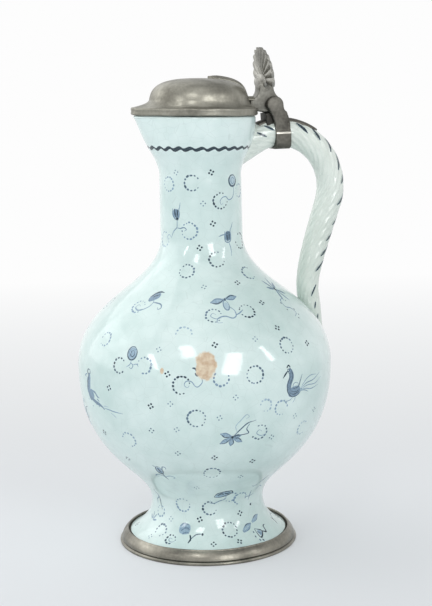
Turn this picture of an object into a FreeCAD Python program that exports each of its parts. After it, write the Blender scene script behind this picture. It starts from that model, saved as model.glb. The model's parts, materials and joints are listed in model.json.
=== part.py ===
import FreeCAD, Part
import math
import os

# Narrow-necked faience jug with a hinged pewter lid, in millimetres.
# The jug's axis is Z and its pewter foot ring stands on z = 0.
# The handle points along +X and the pouring lip along -X, so the hinge pin lies along Y.

# Shared by every cut that has to run past what it cuts
overrun = 3.0

# How closely the edges of the mouth and the neck have to agree where they join
join_tolerance = 0.005

# Jug body, thrown in earthenware, from the foot up
foot_radius = 48.0
foot_edge_height = 5.9
foot_rim_width = 11.0
stem_radius = 34.4
stem_height = 27.0
bowl_rise = 85.0
belly_radius = 76.8
shoulder_rise = 78.0
neck_radius = 24.6
neck_length = 32.0
mouth_rise = 38.0
mouth_radius = 33.8
rim_tilt_deg = 1.5

# Walls and floor of the body
belly_wall = 5.0
neck_wall = 4.6
mouth_wall = 4.0
floor_thickness = 15.9
recess_depth = 6.5

# Body curves, as shares of the height between the levels that each curve joins
flare_pull_share = 0.38
bowl_low_pull_share = 0.26
bowl_high_pull_share = 0.70
shoulder_low_pull_share = 0.54
shoulder_high_pull_share = 0.40
floor_pull_share = 0.28
inside_bowl_pull_share = 0.48
inside_neck_drop_share = 0.05
recess_roof_share = 0.92

# Mouth: height, radius and lip shares from the neck up to the rim
mouth_shares = (
    (0.00, 0.00, 0.00),
    (0.17, 0.01, 0.00),
    (0.36, 0.27, 0.05),
    (0.52, 0.60, 0.18),
    (0.68, 0.85, 0.34),
    (0.84, 0.97, 0.60),
    (1.00, 1.00, 1.00),
)
lip_reach = 6.4
lip_spread_deg = 21.0
pinch_depth = 2.0
pinch_place_deg = 45.0
pinch_spread_deg = 17.0
lip_spans = 9

# Pewter foot ring and the putty that beds it
ring_spread = 6.7
ring_bead_height = 2.2
ring_waist = 1.1
ring_height = 8.6
ring_floor = 1.6
ring_floor_reach = 8.0
ring_lip = 1.1
ring_lip_clearance = 0.3
ring_wall_bulge = 0.95
bedding = 0.9

# Pewter lid
lid_seat_gap = 0.3
lid_overhang = 1.3
lid_band_height = 5.4
lid_band_round = 0.7
lid_band_wall = 2.8
lid_brim_width = 4.9
lid_brim_rise = 2.2
lid_brim_plate = 1.7
dome_height = 15.4
dome_wall = 1.9
dome_side_radius_share = 0.965
dome_side_height_share = 0.72
dome_crown_radius_share = 0.70

# Strap cast over the dome
lid_strap_width = 11.0
lid_strap_thickness = 1.3
lid_strap_start = 5.5

# Three-knuckle hinge
hinge_standoff = 11.8
hinge_rise = 7.1
pin_radius = 1.5
pin_clearance = 0.05
plug_length = 2.0
lug_width = 6.0
lug_radius = 5.2
lug_side_gap = 0.3
lug_floor_gap = 0.5
lug_web_rise_share = 0.5
ear_width = 5.0
ear_radius = 5.5

# Thumb rest, a shell on a stem
stem_neck_height = 10.0
stem_front = 8.2
stem_back = 1.3
shell_height = 23.0
shell_width = 26.0
shell_thickness = 4.0
shell_lean_deg = 9.0
shell_scallops = 9
shell_half_turn_deg = 100.0
scallop_draw_share = 0.91
shell_groove = 0.8
shell_root_share = 0.16

# Twisted handle
handle_radius = 8.2
arch_radius = 33.3
root_length = 20.0
root_thick_shares = (1.32, 1.16)
root_wide_shares = (1.10, 1.05)
arch_start_deg = 113.0
arch_end_deg = -19.0
arch_sections = 8
leg_pull_share = 0.73
tail_pull_share = 0.43
tail_height_share = 0.055
tail_proud = 0.6
leg_thick_shares = (0.98, 0.95, 0.92, 0.89, 0.87, 0.86, 0.82, 0.74, 0.58, 0.36, 0.16)
leg_wide_shares = (0.98, 0.95, 0.92, 0.90, 0.90, 0.93, 0.98, 0.97, 0.85, 0.62, 0.34)
section_points = 16

# Pewter band round the handle and the tongue under it
band_offset = 4.6
band_width = 9.6
band_side = 1.5
band_thickness = 1.3
band_bevel = 5.0
band_corner = 4.0
tongue_thickness = 1.2
tongue_width = 8.0
tongue_start_gap = 2.0
tongue_end_deg = 54.0

# Bracket posts that carry the ears, with a step behind them
web_thickness = 1.4
post_front_gap = 0.5
post_back_gap = 0.2
step_drop = 4.4
step_rise = 1.0
step_corner = 1.0
step_fall = 3.2


def vec(x, y, z):
    """Point or direction in the jug's frame."""
    return FreeCAD.Vector(x, y, z)


X_AXIS = vec(1, 0, 0)
Y_AXIS = vec(0, 1, 0)
Z_AXIS = vec(0, 0, 1)
ORIGIN = vec(0, 0, 0)

# Levels of the body
foot_top = ring_floor + foot_edge_height
inside_floor_height = ring_floor + recess_depth + floor_thickness
belly_height = stem_height + bowl_rise
neck_base_height = belly_height + shoulder_rise
mouth_base_height = neck_base_height + neck_length
rim_height = mouth_base_height + mouth_rise

# Lid, measured from the mouth that it covers
lid_edge = mouth_radius + lid_overhang
dome_radius = lid_edge - lid_brim_width
lid_low = rim_height + lid_seat_gap
lid_shoulder = lid_low + lid_band_height
dome_foot = lid_shoulder + lid_brim_rise

# Hinge, and the handle hung under it
hinge_x = mouth_radius + hinge_standoff
hinge_z = rim_height + hinge_rise
ear_out = lug_width / 2 + lug_side_gap + ear_width
pin_length = 2 * (ear_out - plug_length)
slot_floor = hinge_z - lug_radius - lug_floor_gap
band_top = slot_floor - web_thickness
apex_z = band_top - band_thickness - tongue_thickness - handle_radius
band_bottom = apex_z - handle_radius - band_thickness
band_half = handle_radius + band_side
arch_x = hinge_x + band_offset
arch_z = apex_z - arch_radius
band_front = arch_x - band_width / 2
band_back = arch_x + band_width / 2
ring_wall_inside = foot_radius + bedding


def line(start, end):
    """Straight edge between two points."""
    return Part.LineSegment(start, end).toShape()


def arc(start, middle, end):
    """Circular edge through three points."""
    return Part.Arc(start, middle, end).toShape()


def bezier(*poles):
    """Bezier edge on the given poles."""
    curve = Part.BezierCurve()
    curve.setPoles(list(poles))
    return curve.toShape()


def polygon_face(points):
    """Flat face inside a closed run of straight edges."""
    return Part.Face(Part.makePolygon(list(points) + [points[0]]))


def between(low, high, share):
    """Value at a share of the way from low to high."""
    return low + (high - low) * share


def largest(shape):
    """Largest solid of a shape that a cut may have left in several."""
    return max(shape.Solids, key=lambda piece: piece.Volume)


def cylinder_y(radius, start, length):
    """Cylinder on the hinge's axis."""
    return Part.makeCylinder(radius, length, vec(hinge_x, start, hinge_z), Y_AXIS)


def turned(edges):
    """Solid of revolution about Z of a closed run of edges in the XZ plane."""
    return Part.Face(Part.Wire(edges)).revolve(ORIGIN, Z_AXIS, 360)


def rim_tilted(shape):
    """Tilt a level piece with the mouth, which dips towards the handle."""
    return shape.rotated(vec(0, 0, rim_height), Y_AXIS, rim_tilt_deg)


def bump(angle_deg, spread_deg):
    """Smooth bell of height 1 at angle zero."""
    return math.exp(-((angle_deg / spread_deg) ** 2))


def lip_growth(off_lip_deg):
    """How far the mouth stands out from its circle, by the angle from the lip's middle."""
    lip = lip_reach * bump(off_lip_deg, lip_spread_deg)
    pinch = pinch_depth * bump(off_lip_deg - pinch_place_deg, pinch_spread_deg)
    return lip - pinch


def lipped_outline(radius, lip_share, height):
    """Closed outline of the mouth: half a circle, then a pinched pouring lip at -X."""

    def point(turn_deg):
        off_lip = abs(180.0 - turn_deg)
        growth = lip_share * lip_growth(off_lip) if off_lip < 90.0 else 0
        angle = math.radians(turn_deg)
        return vec((radius + growth) * math.cos(angle), (radius + growth) * math.sin(angle), height)

    edges = [arc(point(270.0), point(0), point(90.0))]
    directions = (X_AXIS * -1, Y_AXIS * -1, X_AXIS)
    for side in range(2):
        turns = [90.0 * (1 + side + index / lip_spans) for index in range(lip_spans + 1)]
        curve = Part.BSplineCurve()
        curve.interpolate(
            Points=[point(turn) for turn in turns],
            InitialTangent=directions[side],
            FinalTangent=directions[side + 1],
        )
        edges.append(curve.toShape())
    return Part.Wire(edges)


def shoulder_curve():
    """Outer shoulder from the belly up to the neck."""
    return bezier(
        vec(belly_radius, 0, belly_height),
        vec(belly_radius, 0, belly_height + shoulder_rise * shoulder_low_pull_share),
        vec(neck_radius, 0, neck_base_height - shoulder_rise * shoulder_high_pull_share),
        vec(neck_radius, 0, neck_base_height),
    )


def body_outside():
    """Filled outer shape of the thrown body, up to the start of the mouth."""
    flare_z = between(foot_top, stem_height, flare_pull_share)
    return turned(
        [
            line(vec(0, 0, ring_floor), vec(foot_radius, 0, ring_floor)),
            line(vec(foot_radius, 0, ring_floor), vec(foot_radius, 0, foot_top)),
            bezier(
                vec(foot_radius, 0, foot_top),
                vec(stem_radius, 0, flare_z),
                vec(stem_radius, 0, stem_height),
            ),
            bezier(
                vec(stem_radius, 0, stem_height),
                vec(stem_radius, 0, stem_height + bowl_rise * bowl_low_pull_share),
                vec(belly_radius, 0, belly_height - bowl_rise * bowl_high_pull_share),
                vec(belly_radius, 0, belly_height),
            ),
            shoulder_curve(),
            line(vec(neck_radius, 0, neck_base_height), vec(neck_radius, 0, mouth_base_height)),
            line(vec(neck_radius, 0, mouth_base_height), vec(0, 0, mouth_base_height)),
            line(vec(0, 0, mouth_base_height), vec(0, 0, ring_floor)),
        ]
    )


def body_inside():
    """Space inside the body, up to the start of the mouth."""
    bowl = belly_height - inside_floor_height
    wide = belly_radius - belly_wall
    narrow = neck_radius - neck_wall
    neck_low = neck_base_height - shoulder_rise * inside_neck_drop_share
    low_pull = shoulder_rise * (shoulder_low_pull_share - inside_neck_drop_share)
    return turned(
        [
            bezier(
                vec(0, 0, inside_floor_height),
                vec(wide * floor_pull_share, 0, inside_floor_height),
                vec(wide, 0, inside_floor_height + bowl * inside_bowl_pull_share),
                vec(wide, 0, belly_height),
            ),
            bezier(
                vec(wide, 0, belly_height),
                vec(wide, 0, belly_height + low_pull),
                vec(narrow, 0, neck_low - shoulder_rise * shoulder_high_pull_share),
                vec(narrow, 0, neck_low),
            ),
            line(vec(narrow, 0, neck_low), vec(narrow, 0, mouth_base_height)),
            line(vec(narrow, 0, mouth_base_height), vec(0, 0, mouth_base_height)),
            line(vec(0, 0, mouth_base_height), vec(0, 0, inside_floor_height)),
        ]
    )


def mouth_loft(neck_inset, rim_inset):
    """Flared mouth with its lip, set in from the outer face, running past the rim."""
    wires = []
    for height_share, radius_share, lip_share in mouth_shares:
        radius = between(neck_radius, mouth_radius, radius_share)
        inset = between(neck_inset, rim_inset, height_share)
        height = between(mouth_base_height, rim_height, height_share)
        wires.append(lipped_outline(radius - inset, lip_share, height))
    wires.append(lipped_outline(mouth_radius - rim_inset, 1.0, rim_height + overrun))
    return Part.makeLoft(wires, True, False)


def above_rim():
    """Block above the tilted plane of the mouth."""
    side = 2 * (mouth_radius + lip_reach + overrun)
    block = Part.makeBox(side, side, side, vec(-side / 2, -side / 2, rim_height))
    return rim_tilted(block)


def jug_filled():
    """Outer shape of the whole jug with no hollow."""
    return body_outside().fuse([mouth_loft(0, 0)], join_tolerance).cut(above_rim())


def make_jug_body(filled):
    """Jug with its hollow and the recess under its foot."""
    hollow = body_inside().fuse([mouth_loft(neck_wall, mouth_wall)], join_tolerance)
    recess_radius = foot_radius - foot_rim_width
    recess = Part.makeCone(
        recess_radius,
        recess_radius * recess_roof_share,
        recess_depth,
        vec(0, 0, ring_floor),
    )
    return filled.cut(hollow).cut(recess)


def make_foot_ring():
    """Pewter ring with a bead at the table, a bulging wall and a floor under the foot."""
    bead = foot_radius + ring_spread
    waist = bead - ring_waist
    lip_inside = foot_radius + ring_lip_clearance
    lip_outside = lip_inside + ring_lip
    floor_inside = foot_radius - ring_floor_reach
    bulge = vec(
        (waist + lip_outside) / 2 + ring_wall_bulge,
        0,
        (ring_bead_height + ring_height) / 2 + ring_wall_bulge,
    )
    return turned(
        [
            line(vec(floor_inside, 0, 0), vec(waist, 0, 0)),
            arc(vec(waist, 0, 0), vec(bead, 0, ring_bead_height / 2), vec(waist, 0, ring_bead_height)),
            arc(vec(waist, 0, ring_bead_height), bulge, vec(lip_outside, 0, ring_height)),
            line(vec(lip_outside, 0, ring_height), vec(lip_inside, 0, ring_height)),
            line(vec(lip_inside, 0, ring_height), vec(lip_inside, 0, foot_top)),
            line(vec(lip_inside, 0, foot_top), vec(ring_wall_inside, 0, foot_top)),
            line(vec(ring_wall_inside, 0, foot_top), vec(ring_wall_inside, 0, ring_floor)),
            line(vec(ring_wall_inside, 0, ring_floor), vec(floor_inside, 0, ring_floor)),
            line(vec(floor_inside, 0, ring_floor), vec(floor_inside, 0, 0)),
        ]
    )


def make_foot_bedding():
    """Putty between the foot's edge and the ring."""
    base = vec(0, 0, ring_floor)
    outer = Part.makeCylinder(ring_wall_inside, foot_edge_height, base)
    return outer.cut(Part.makeCylinder(foot_radius, foot_edge_height, base))


def dome_solid(growth):
    """Filled dome of the lid, grown outwards by a thickness."""
    radius = dome_radius + growth
    height = dome_height + growth
    top = dome_foot + height
    base = lid_low + lid_band_round
    return turned(
        [
            line(vec(0, 0, base), vec(radius, 0, base)),
            line(vec(radius, 0, base), vec(radius, 0, dome_foot)),
            bezier(
                vec(radius, 0, dome_foot),
                vec(radius * dome_side_radius_share, 0, dome_foot + height * dome_side_height_share),
                vec(radius * dome_crown_radius_share, 0, top),
                vec(0, 0, top),
            ),
            line(vec(0, 0, top), vec(0, 0, base)),
        ]
    )


def make_lid_cover():
    """Lid shell: rounded band, sloping brim and low dome, hollow beneath."""
    steps = (
        (lid_edge - lid_band_round, 1.0, lid_low),
        (lid_edge, 1.0, lid_low + lid_band_round),
        (lid_edge, 1.0, lid_shoulder - lid_band_round),
        (lid_edge - lid_band_round, 1.0, lid_shoulder),
        (dome_radius - dome_wall / 2, 0, dome_foot),
    )
    brim = Part.makeLoft([lipped_outline(*step) for step in steps], True, True)
    inner_edge = lid_edge - lid_band_wall
    hollow = Part.makeLoft(
        [
            lipped_outline(inner_edge, 1.0, lid_low - overrun),
            lipped_outline(inner_edge, 1.0, lid_shoulder - lid_brim_plate),
        ],
        True,
        True,
    )
    return brim.fuse(dome_solid(0)).cut(hollow).cut(dome_solid(-dome_wall)).removeSplitter()


def make_lid_strap(cover):
    """Strap over the dome, round-ended at the crown, running down to the brim by the hinge."""
    half = lid_strap_width / 2
    crown = lid_strap_start + half
    tall = dome_foot + dome_height + overrun - lid_shoulder
    run = Part.makeBox(mouth_radius - crown, lid_strap_width, tall, vec(crown, -half, lid_shoulder))
    end = Part.makeCylinder(half, tall, vec(crown, 0, lid_shoulder))
    over_dome = dome_solid(lid_strap_thickness).common(run.fuse(end))
    return largest(over_dome.cut(cover).cut(dome_solid(0)))


def make_hinge_lug(cover, strap):
    """Middle knuckle with the web to the lid and the stem of the thumb rest."""
    half = lug_width / 2
    low = hinge_z - lug_radius
    high = hinge_z + lug_radius
    top = hinge_z + stem_neck_height
    web_top = hinge_z + lug_radius * lug_web_rise_share
    front = hinge_x - stem_front
    back = hinge_x + stem_back
    outline = [
        vec(dome_radius, -half, low),
        vec(hinge_x, -half, low),
        vec(hinge_x, -half, hinge_z),
        vec(back, -half, high),
        vec(back, -half, top),
        vec(front, -half, top),
        vec(front, -half, high),
        vec(mouth_radius, -half, web_top),
        vec(dome_radius, -half, web_top),
    ]
    web = polygon_face(outline).extrude(Y_AXIS * lug_width)
    knuckle = cylinder_y(lug_radius, -half, lug_width)
    bore = cylinder_y(pin_radius + pin_clearance, -half - overrun, lug_width + 2 * overrun)
    return largest(web.fuse(knuckle).cut(bore).cut(cover).cut(strap))


def make_thumb_rest():
    """Scallop shell that leans towards the lid, with a groove between each pair of scallops."""
    seat = hinge_z + stem_neck_height
    root = seat + shell_height * shell_root_share
    middle = hinge_x + (stem_back - stem_front) / 2
    face = middle - shell_thickness / 2
    half_foot = lug_width / 2

    def point(place, draw_share):
        """Point of the face by its place in scallops, drawn in towards the root."""
        turn = between(-shell_half_turn_deg, shell_half_turn_deg, place / shell_scallops)
        across = shell_width / 2 * math.sin(math.radians(turn))
        up = (seat + shell_height - root) * math.cos(math.radians(turn))
        return vec(face, across * draw_share, root + up * draw_share)

    valleys = [point(place, scallop_draw_share) for place in range(shell_scallops + 1)]
    edges = []
    for place in range(shell_scallops):
        peak = point(place + 0.5, 1.0)
        edges.append(arc(valleys[place], peak, valleys[place + 1]))
    near_foot = vec(face, -half_foot, seat)
    far_foot = vec(face, half_foot, seat)
    edges += [line(valleys[-1], far_foot), line(far_foot, near_foot), line(near_foot, valleys[0])]
    plate = Part.Face(Part.Wire(edges)).extrude(X_AXIS * shell_thickness)
    hub = vec(face, 0, root)
    for valley in valleys[1:-1]:
        plate = plate.cut(Part.makeCylinder(shell_groove, shell_height, hub, valley - hub))
    lean = plate.rotated(vec(middle, 0, seat), Y_AXIS, -shell_lean_deg)
    foot = Part.makeBox(
        stem_front + stem_back,
        lug_width,
        root - seat,
        vec(hinge_x - stem_front, -half_foot, seat),
    )
    below = Part.makeBox(
        2 * shell_height,
        2 * shell_width,
        shell_height,
        vec(middle - shell_height, -shell_width, seat - shell_height),
    )
    return foot.fuse(lean).cut(below).removeSplitter()


def make_hinge_pin():
    """Plain pin through the three knuckles."""
    return cylinder_y(pin_radius, -pin_length / 2, pin_length)


def make_pin_end_plugs():
    """Pewter plugs that close the pin's hole at both ends."""
    near = cylinder_y(pin_radius, -ear_out, plug_length)
    far = cylinder_y(pin_radius, ear_out - plug_length, plug_length)
    return Part.makeCompound([near, far])


def section_wire(centre, tangent, thick_share, wide_share):
    """Oval section of the handle, square to its path in the XZ plane."""
    outwards = Y_AXIS.cross(tangent) * (handle_radius * thick_share)
    sideways = Y_AXIS * (handle_radius * wide_share)
    points = []
    for index in range(section_points):
        angle = 2 * math.pi * index / section_points
        points.append(centre + outwards * math.cos(angle) + sideways * math.sin(angle))
    curve = Part.BSplineCurve()
    curve.interpolate(Points=points, PeriodicFlag=True)
    return Part.Wire(curve.toShape())


def arch_point(angle_deg, radius):
    """Point on a circle about the arch's centre."""
    angle = math.radians(angle_deg)
    return vec(arch_x + radius * math.cos(angle), 0, arch_z + radius * math.sin(angle))


def arch_tangent(angle_deg):
    """Direction of the handle's path over the arch, from the mouth towards the leg."""
    angle = math.radians(angle_deg)
    return vec(math.sin(angle), 0, -math.cos(angle))


def leg_curve():
    """Path of the handle from the arch down to its tail on the shoulder."""
    start = arch_point(arch_end_deg, arch_radius)
    down = arch_tangent(arch_end_deg)
    shoulder = shoulder_curve()
    place = between(shoulder.FirstParameter, shoulder.LastParameter, tail_height_share)
    along = shoulder.tangentAt(place) * -1
    end = shoulder.valueAt(place) + Y_AXIS.cross(shoulder.tangentAt(place)) * tail_proud
    reach = start.distanceToPoint(end)
    leg_pull = start + down * (reach * leg_pull_share)
    tail_pull = end - along * (reach * tail_pull_share)
    return bezier(start, leg_pull, tail_pull, end)


def make_handle(filled):
    """Handle from the mouth's collar, over the arch and down to a tail on the shoulder."""
    wires = []
    start = arch_point(arch_start_deg, arch_radius)
    heading = arch_tangent(arch_start_deg)
    roots = len(root_thick_shares)
    for index in range(roots):
        centre = start - heading * (root_length * (1 - index / roots))
        wires.append(section_wire(centre, heading, root_thick_shares[index], root_wide_shares[index]))
    for index in range(arch_sections):
        angle = between(arch_start_deg, arch_end_deg, index / arch_sections)
        wires.append(section_wire(arch_point(angle, arch_radius), arch_tangent(angle), 1.0, 1.0))
    leg = leg_curve()
    last = len(leg_thick_shares) - 1
    for index in range(last + 1):
        place = between(leg.FirstParameter, leg.LastParameter, index / last)
        wires.append(
            section_wire(
                leg.valueAt(place),
                leg.tangentAt(place),
                leg_thick_shares[index],
                leg_wide_shares[index],
            )
        )
    return largest(Part.makeLoft(wires, True, False).cut(filled))


def make_handle_tongue(handle):
    """Pewter tongue along the handle's back, under the band."""
    outer = arch_radius + handle_radius + tongue_thickness
    start = mouth_radius + tongue_start_gap
    start_deg = math.degrees(math.acos((start - arch_x) / outer))
    middle_deg = (start_deg + tongue_end_deg) / 2
    outer_start, outer_middle, outer_end = (
        arch_point(angle, outer) for angle in (start_deg, middle_deg, tongue_end_deg)
    )
    inner_start, inner_middle, inner_end = (
        arch_point(angle, arch_radius) for angle in (start_deg, middle_deg, tongue_end_deg)
    )
    edges = [
        arc(outer_start, outer_middle, outer_end),
        line(outer_end, inner_end),
        arc(inner_end, inner_middle, inner_start),
        line(inner_start, outer_start),
    ]
    sector = Part.Face(Part.Wire(edges)).extrude(Y_AXIS * tongue_width)
    sector.translate(Y_AXIS * (-tongue_width / 2))
    return max(sector.cut(handle).Solids, key=lambda piece: piece.CenterOfMass.z)


def band_block():
    """Outer shape of the band: bevelled above, rounded below."""
    flat = band_half - band_bevel
    bevel_low = band_top - band_bevel
    corner_top = band_bottom + band_corner
    corner_in = band_half - band_corner
    turn = band_corner * (1 - math.sqrt(0.5))

    def point(side, height):
        return vec(band_front, side, height)

    profile = [
        line(point(-flat, band_top), point(flat, band_top)),
        line(point(flat, band_top), point(band_half, bevel_low)),
        line(point(band_half, bevel_low), point(band_half, corner_top)),
        arc(
            point(band_half, corner_top),
            point(band_half - turn, band_bottom + turn),
            point(corner_in, band_bottom),
        ),
        line(point(corner_in, band_bottom), point(-corner_in, band_bottom)),
        arc(
            point(-corner_in, band_bottom),
            point(turn - band_half, band_bottom + turn),
            point(-band_half, corner_top),
        ),
        line(point(-band_half, corner_top), point(-band_half, bevel_low)),
        line(point(-band_half, bevel_low), point(-flat, band_top)),
    ]
    return Part.Face(Part.Wire(profile)).extrude(X_AXIS * band_width)


def make_hinge_bracket(under):
    """Two ears on posts, joined under the lug by a web, cut to sit on what lies under it."""
    low = band_top - band_bevel
    step_z = hinge_z - step_drop
    back = band_back - post_back_gap
    outline = [
        vec(band_front + post_front_gap, -ear_out, low),
        vec(hinge_x - ear_radius, -ear_out, hinge_z),
        vec(hinge_x + ear_radius, -ear_out, hinge_z),
        vec(hinge_x + ear_radius, -ear_out, step_z + step_rise),
        vec(back - step_corner, -ear_out, step_z),
        vec(back, -ear_out, step_z - step_fall),
        vec(back, -ear_out, low),
    ]
    bracket = polygon_face(outline).extrude(Y_AXIS * (2 * ear_out))
    bracket = bracket.fuse(cylinder_y(ear_radius, -ear_out, 2 * ear_out))
    slot = Part.makeBox(
        2 * (ear_radius + band_width),
        lug_width + 2 * lug_side_gap,
        2 * (ear_radius + overrun),
        vec(hinge_x - ear_radius - overrun, -lug_width / 2 - lug_side_gap, slot_floor),
    )
    bore = cylinder_y(pin_radius, -ear_out - overrun, 2 * (ear_out + overrun))
    bracket = bracket.cut(slot).cut(bore)
    for piece in under:
        bracket = bracket.cut(piece)
    return largest(bracket.removeSplitter())


def main():
    """Build every piece and write one STEP file for each."""
    os.makedirs("parts", exist_ok=True)
    filled = jug_filled()
    handle = make_handle(filled)
    tongue = make_handle_tongue(handle)
    block = band_block()
    level_cover = make_lid_cover()
    cover = rim_tilted(level_cover)
    strap = rim_tilted(make_lid_strap(level_cover))
    pieces = {
        "jug_body": make_jug_body(filled),
        "rope_handle": handle,
        "foot_ring": make_foot_ring(),
        "foot_bedding": make_foot_bedding(),
        "lid_cover": cover,
        "lid_strap": strap,
        "hinge_lug": make_hinge_lug(cover, strap),
        "thumb_rest": make_thumb_rest(),
        "hinge_pin": make_hinge_pin(),
        "pin_end_plugs": make_pin_end_plugs(),
        "handle_tongue": tongue,
        "handle_band": block.cut(handle).cut(tongue),
        "hinge_bracket": make_hinge_bracket([block, handle, tongue]),
    }
    for name, shape in pieces.items():
        shape.exportStep("parts/" + name + ".step")
        print(f"{name}: {len(shape.Solids)} solids, valid {shape.isValid()}, {shape.Volume:.0f} mm3")
    print(f"hinge axis at x {hinge_x:.2f}, z {hinge_z:.2f}")


main()
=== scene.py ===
"""Looks of a tin-glazed, narrow-necked jug with a hinged pewter lid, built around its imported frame."""

import bisect
import json
import logging
import random
from dataclasses import dataclass
from enum import Enum
from math import acos, atan2, cos, degrees, dist, exp, hypot, pi, radians, sin, sqrt, tan
from typing import Callable, Iterable, Sequence

import bmesh
import bpy
from mathutils import Matrix, Vector


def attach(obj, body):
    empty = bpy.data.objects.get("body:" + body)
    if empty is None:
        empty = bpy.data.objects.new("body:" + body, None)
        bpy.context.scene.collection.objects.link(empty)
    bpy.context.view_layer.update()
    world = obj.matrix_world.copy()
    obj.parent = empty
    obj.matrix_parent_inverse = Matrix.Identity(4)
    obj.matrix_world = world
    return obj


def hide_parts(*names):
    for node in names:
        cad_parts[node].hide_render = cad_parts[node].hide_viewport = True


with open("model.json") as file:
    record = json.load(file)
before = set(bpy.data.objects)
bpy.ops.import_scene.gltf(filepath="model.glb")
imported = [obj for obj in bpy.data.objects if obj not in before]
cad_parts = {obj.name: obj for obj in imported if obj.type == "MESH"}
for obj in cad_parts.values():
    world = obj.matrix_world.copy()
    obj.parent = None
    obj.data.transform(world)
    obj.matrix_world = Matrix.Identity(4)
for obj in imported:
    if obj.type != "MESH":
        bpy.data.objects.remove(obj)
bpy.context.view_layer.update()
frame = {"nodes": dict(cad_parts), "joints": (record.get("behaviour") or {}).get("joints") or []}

# Every mesh is modelled in millimetres and scaled to metres when its piece is finished.
MM = 0.001
FULL_TURN = 2 * pi
HINGE = Vector(frame["joints"][0]["pos_m"]) / MM
# Points nearer than this are one point, in millimetres.
SAME_POINT = 1e-4

log = logging.getLogger("jug")

Point = tuple[float, float]
Row = tuple[float, float, float]
Wrap = Callable[[float, float, float], Vector]
BMesh = bmesh.types.BMesh
BMVert = bmesh.types.BMVert
Material = bpy.types.Material
NodeTree = bpy.types.NodeTree
Socket = bpy.types.NodeSocket


class Body(Enum):
    """Bodies of the frame that pieces ride on."""

    JUG = "jug"
    LID = "lid"


class Slot(Enum):
    """Finish slots of the record."""

    TIN_GLAZE = "tin_glaze"
    PEWTER = "pewter"


class Load(Enum):
    """How much cobalt the brush carries."""

    INK = 1.0
    DARK = 0.8
    BLUE = 0.57
    LINE = 0.5
    WASH = 0.38
    FAINT = 0.27


INK, DARK, BLUE, LINE, WASH, FAINT = Load


def linear(code: str) -> tuple[float, float, float, float]:
    """Turn an sRGB hex colour to linear light.

    Args:
        code: colour such as "#c7dbda".

    Returns:
        Linear red, green, blue and alpha.
    """
    channels = []
    for start in (1, 3, 5):
        value = int(code[start : start + 2], 16) / 255
        channels.append(value / 12.92 if value <= 0.04045 else ((value + 0.055) / 1.055) ** 2.4)
    return (*channels, 1.0)


def between(low: float, high: float, share: float) -> float:
    """Value at a share of the way from low to high."""
    return low + (high - low) * share


def eased(low: float, high: float, value: float) -> float:
    """Smooth step from 0 at low to 1 at high."""
    share = min(max((value - low) / (high - low), 0.0), 1.0)
    return share * share * (3 - 2 * share)


def bezier(poles: Sequence[Point], share: float) -> Point:
    """Point of a Bezier curve.

    Args:
        poles: two to four control points.
        share: place along the curve, 0 to 1.

    Returns:
        The curve's point.
    """
    level = list(poles)
    while len(level) > 1:
        level = [
            tuple(between(a, b, share) for a, b in zip(first, second))
            for first, second in zip(level, level[1:])
        ]
    return level[0]


def bezier_points(poles: Sequence[Point], steps: int) -> list[Point]:
    """Points along a Bezier curve, without its first one."""
    return [bezier(poles, (index + 1) / steps) for index in range(steps)]


def beside(point: Point, way: Point) -> Point:
    """Point at a way to the side and up from another."""
    return point[0] + way[0], point[1] + way[1]


def polar(radius: float, turn_deg: float) -> Point:
    """Point at a radius and a turn from the middle."""
    return radius * cos(radians(turn_deg)), radius * sin(radians(turn_deg))


def arc_points(centre: Point, radius: float, start_deg: float, end_deg: float, steps: int) -> list[Point]:
    """Points along an arc in a plane, both ends included."""
    turns = [between(start_deg, end_deg, index / steps) for index in range(steps + 1)]
    return [beside(centre, polar(radius, turn_deg)) for turn_deg in turns]


def through(table: Sequence[Sequence[float]], place: float) -> list[float]:
    """Values on a smooth curve through the rows of a table.

    Args:
        table: rows that rise in their first column.
        place: value of the first column that is asked for.

    Returns:
        The other columns at that place.
    """
    last = len(table) - 2
    index = next((i for i in range(last) if place <= table[i + 1][0]), last)
    before, low, high, after = (table[min(max(index + step, 0), last + 1)] for step in (-1, 0, 1, 2))
    span = high[0] - low[0]
    share = (place - low[0]) / span
    values = []
    for column in range(1, len(low)):
        start = (high[column] - before[column]) / (high[0] - before[0]) * span
        end = (after[column] - low[column]) / (after[0] - low[0]) * span
        rise = high[column] - low[column]
        curve = (start + end - 2 * rise) * share + 3 * rise - 2 * start - end
        values.append(low[column] + share * (start + share * curve))
    return values


def smooth_path(points: Sequence[Point], step: float) -> list[Point]:
    """Evenly spaced points on a smooth line through a few given ones.

    Args:
        points: two or more points of the line.
        step: wanted spacing.

    Returns:
        Points along the line, both ends included.
    """
    table = [(0.0, *points[0])]
    for first, second in zip(points, points[1:]):
        table.append((table[-1][0] + dist(first, second), *second))
    count = max(2, round(table[-1][0] / step))
    return [tuple(through(table, table[-1][0] * index / count)) for index in range(count + 1)]


def mapped_grid(columns: int, rows: int, place: Callable[[float, float], Vector]) -> BMesh:
    """Grid of quads put in place by a function.

    Args:
        columns: faces along the first way.
        rows: faces along the second way.
        place: gives a point for a share of each way.

    Returns:
        The new mesh, in millimetres.
    """
    bm = bmesh.new()
    bmesh.ops.create_grid(bm, x_segments=columns, y_segments=rows, size=1.0)
    for vert in bm.verts:
        vert.co = place((vert.co.x + 1) / 2, (vert.co.y + 1) / 2)
    return bm


def new_verts(result: dict) -> list[BMVert]:
    """Vertices that an extrusion made."""
    return [item for item in result["geom"] if isinstance(item, BMVert)]


def turn_outwards(bm: BMesh) -> None:
    """Turn the faces of a closed mesh outwards."""
    bmesh.ops.recalc_face_normals(bm, faces=bm.faces[:])


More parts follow.
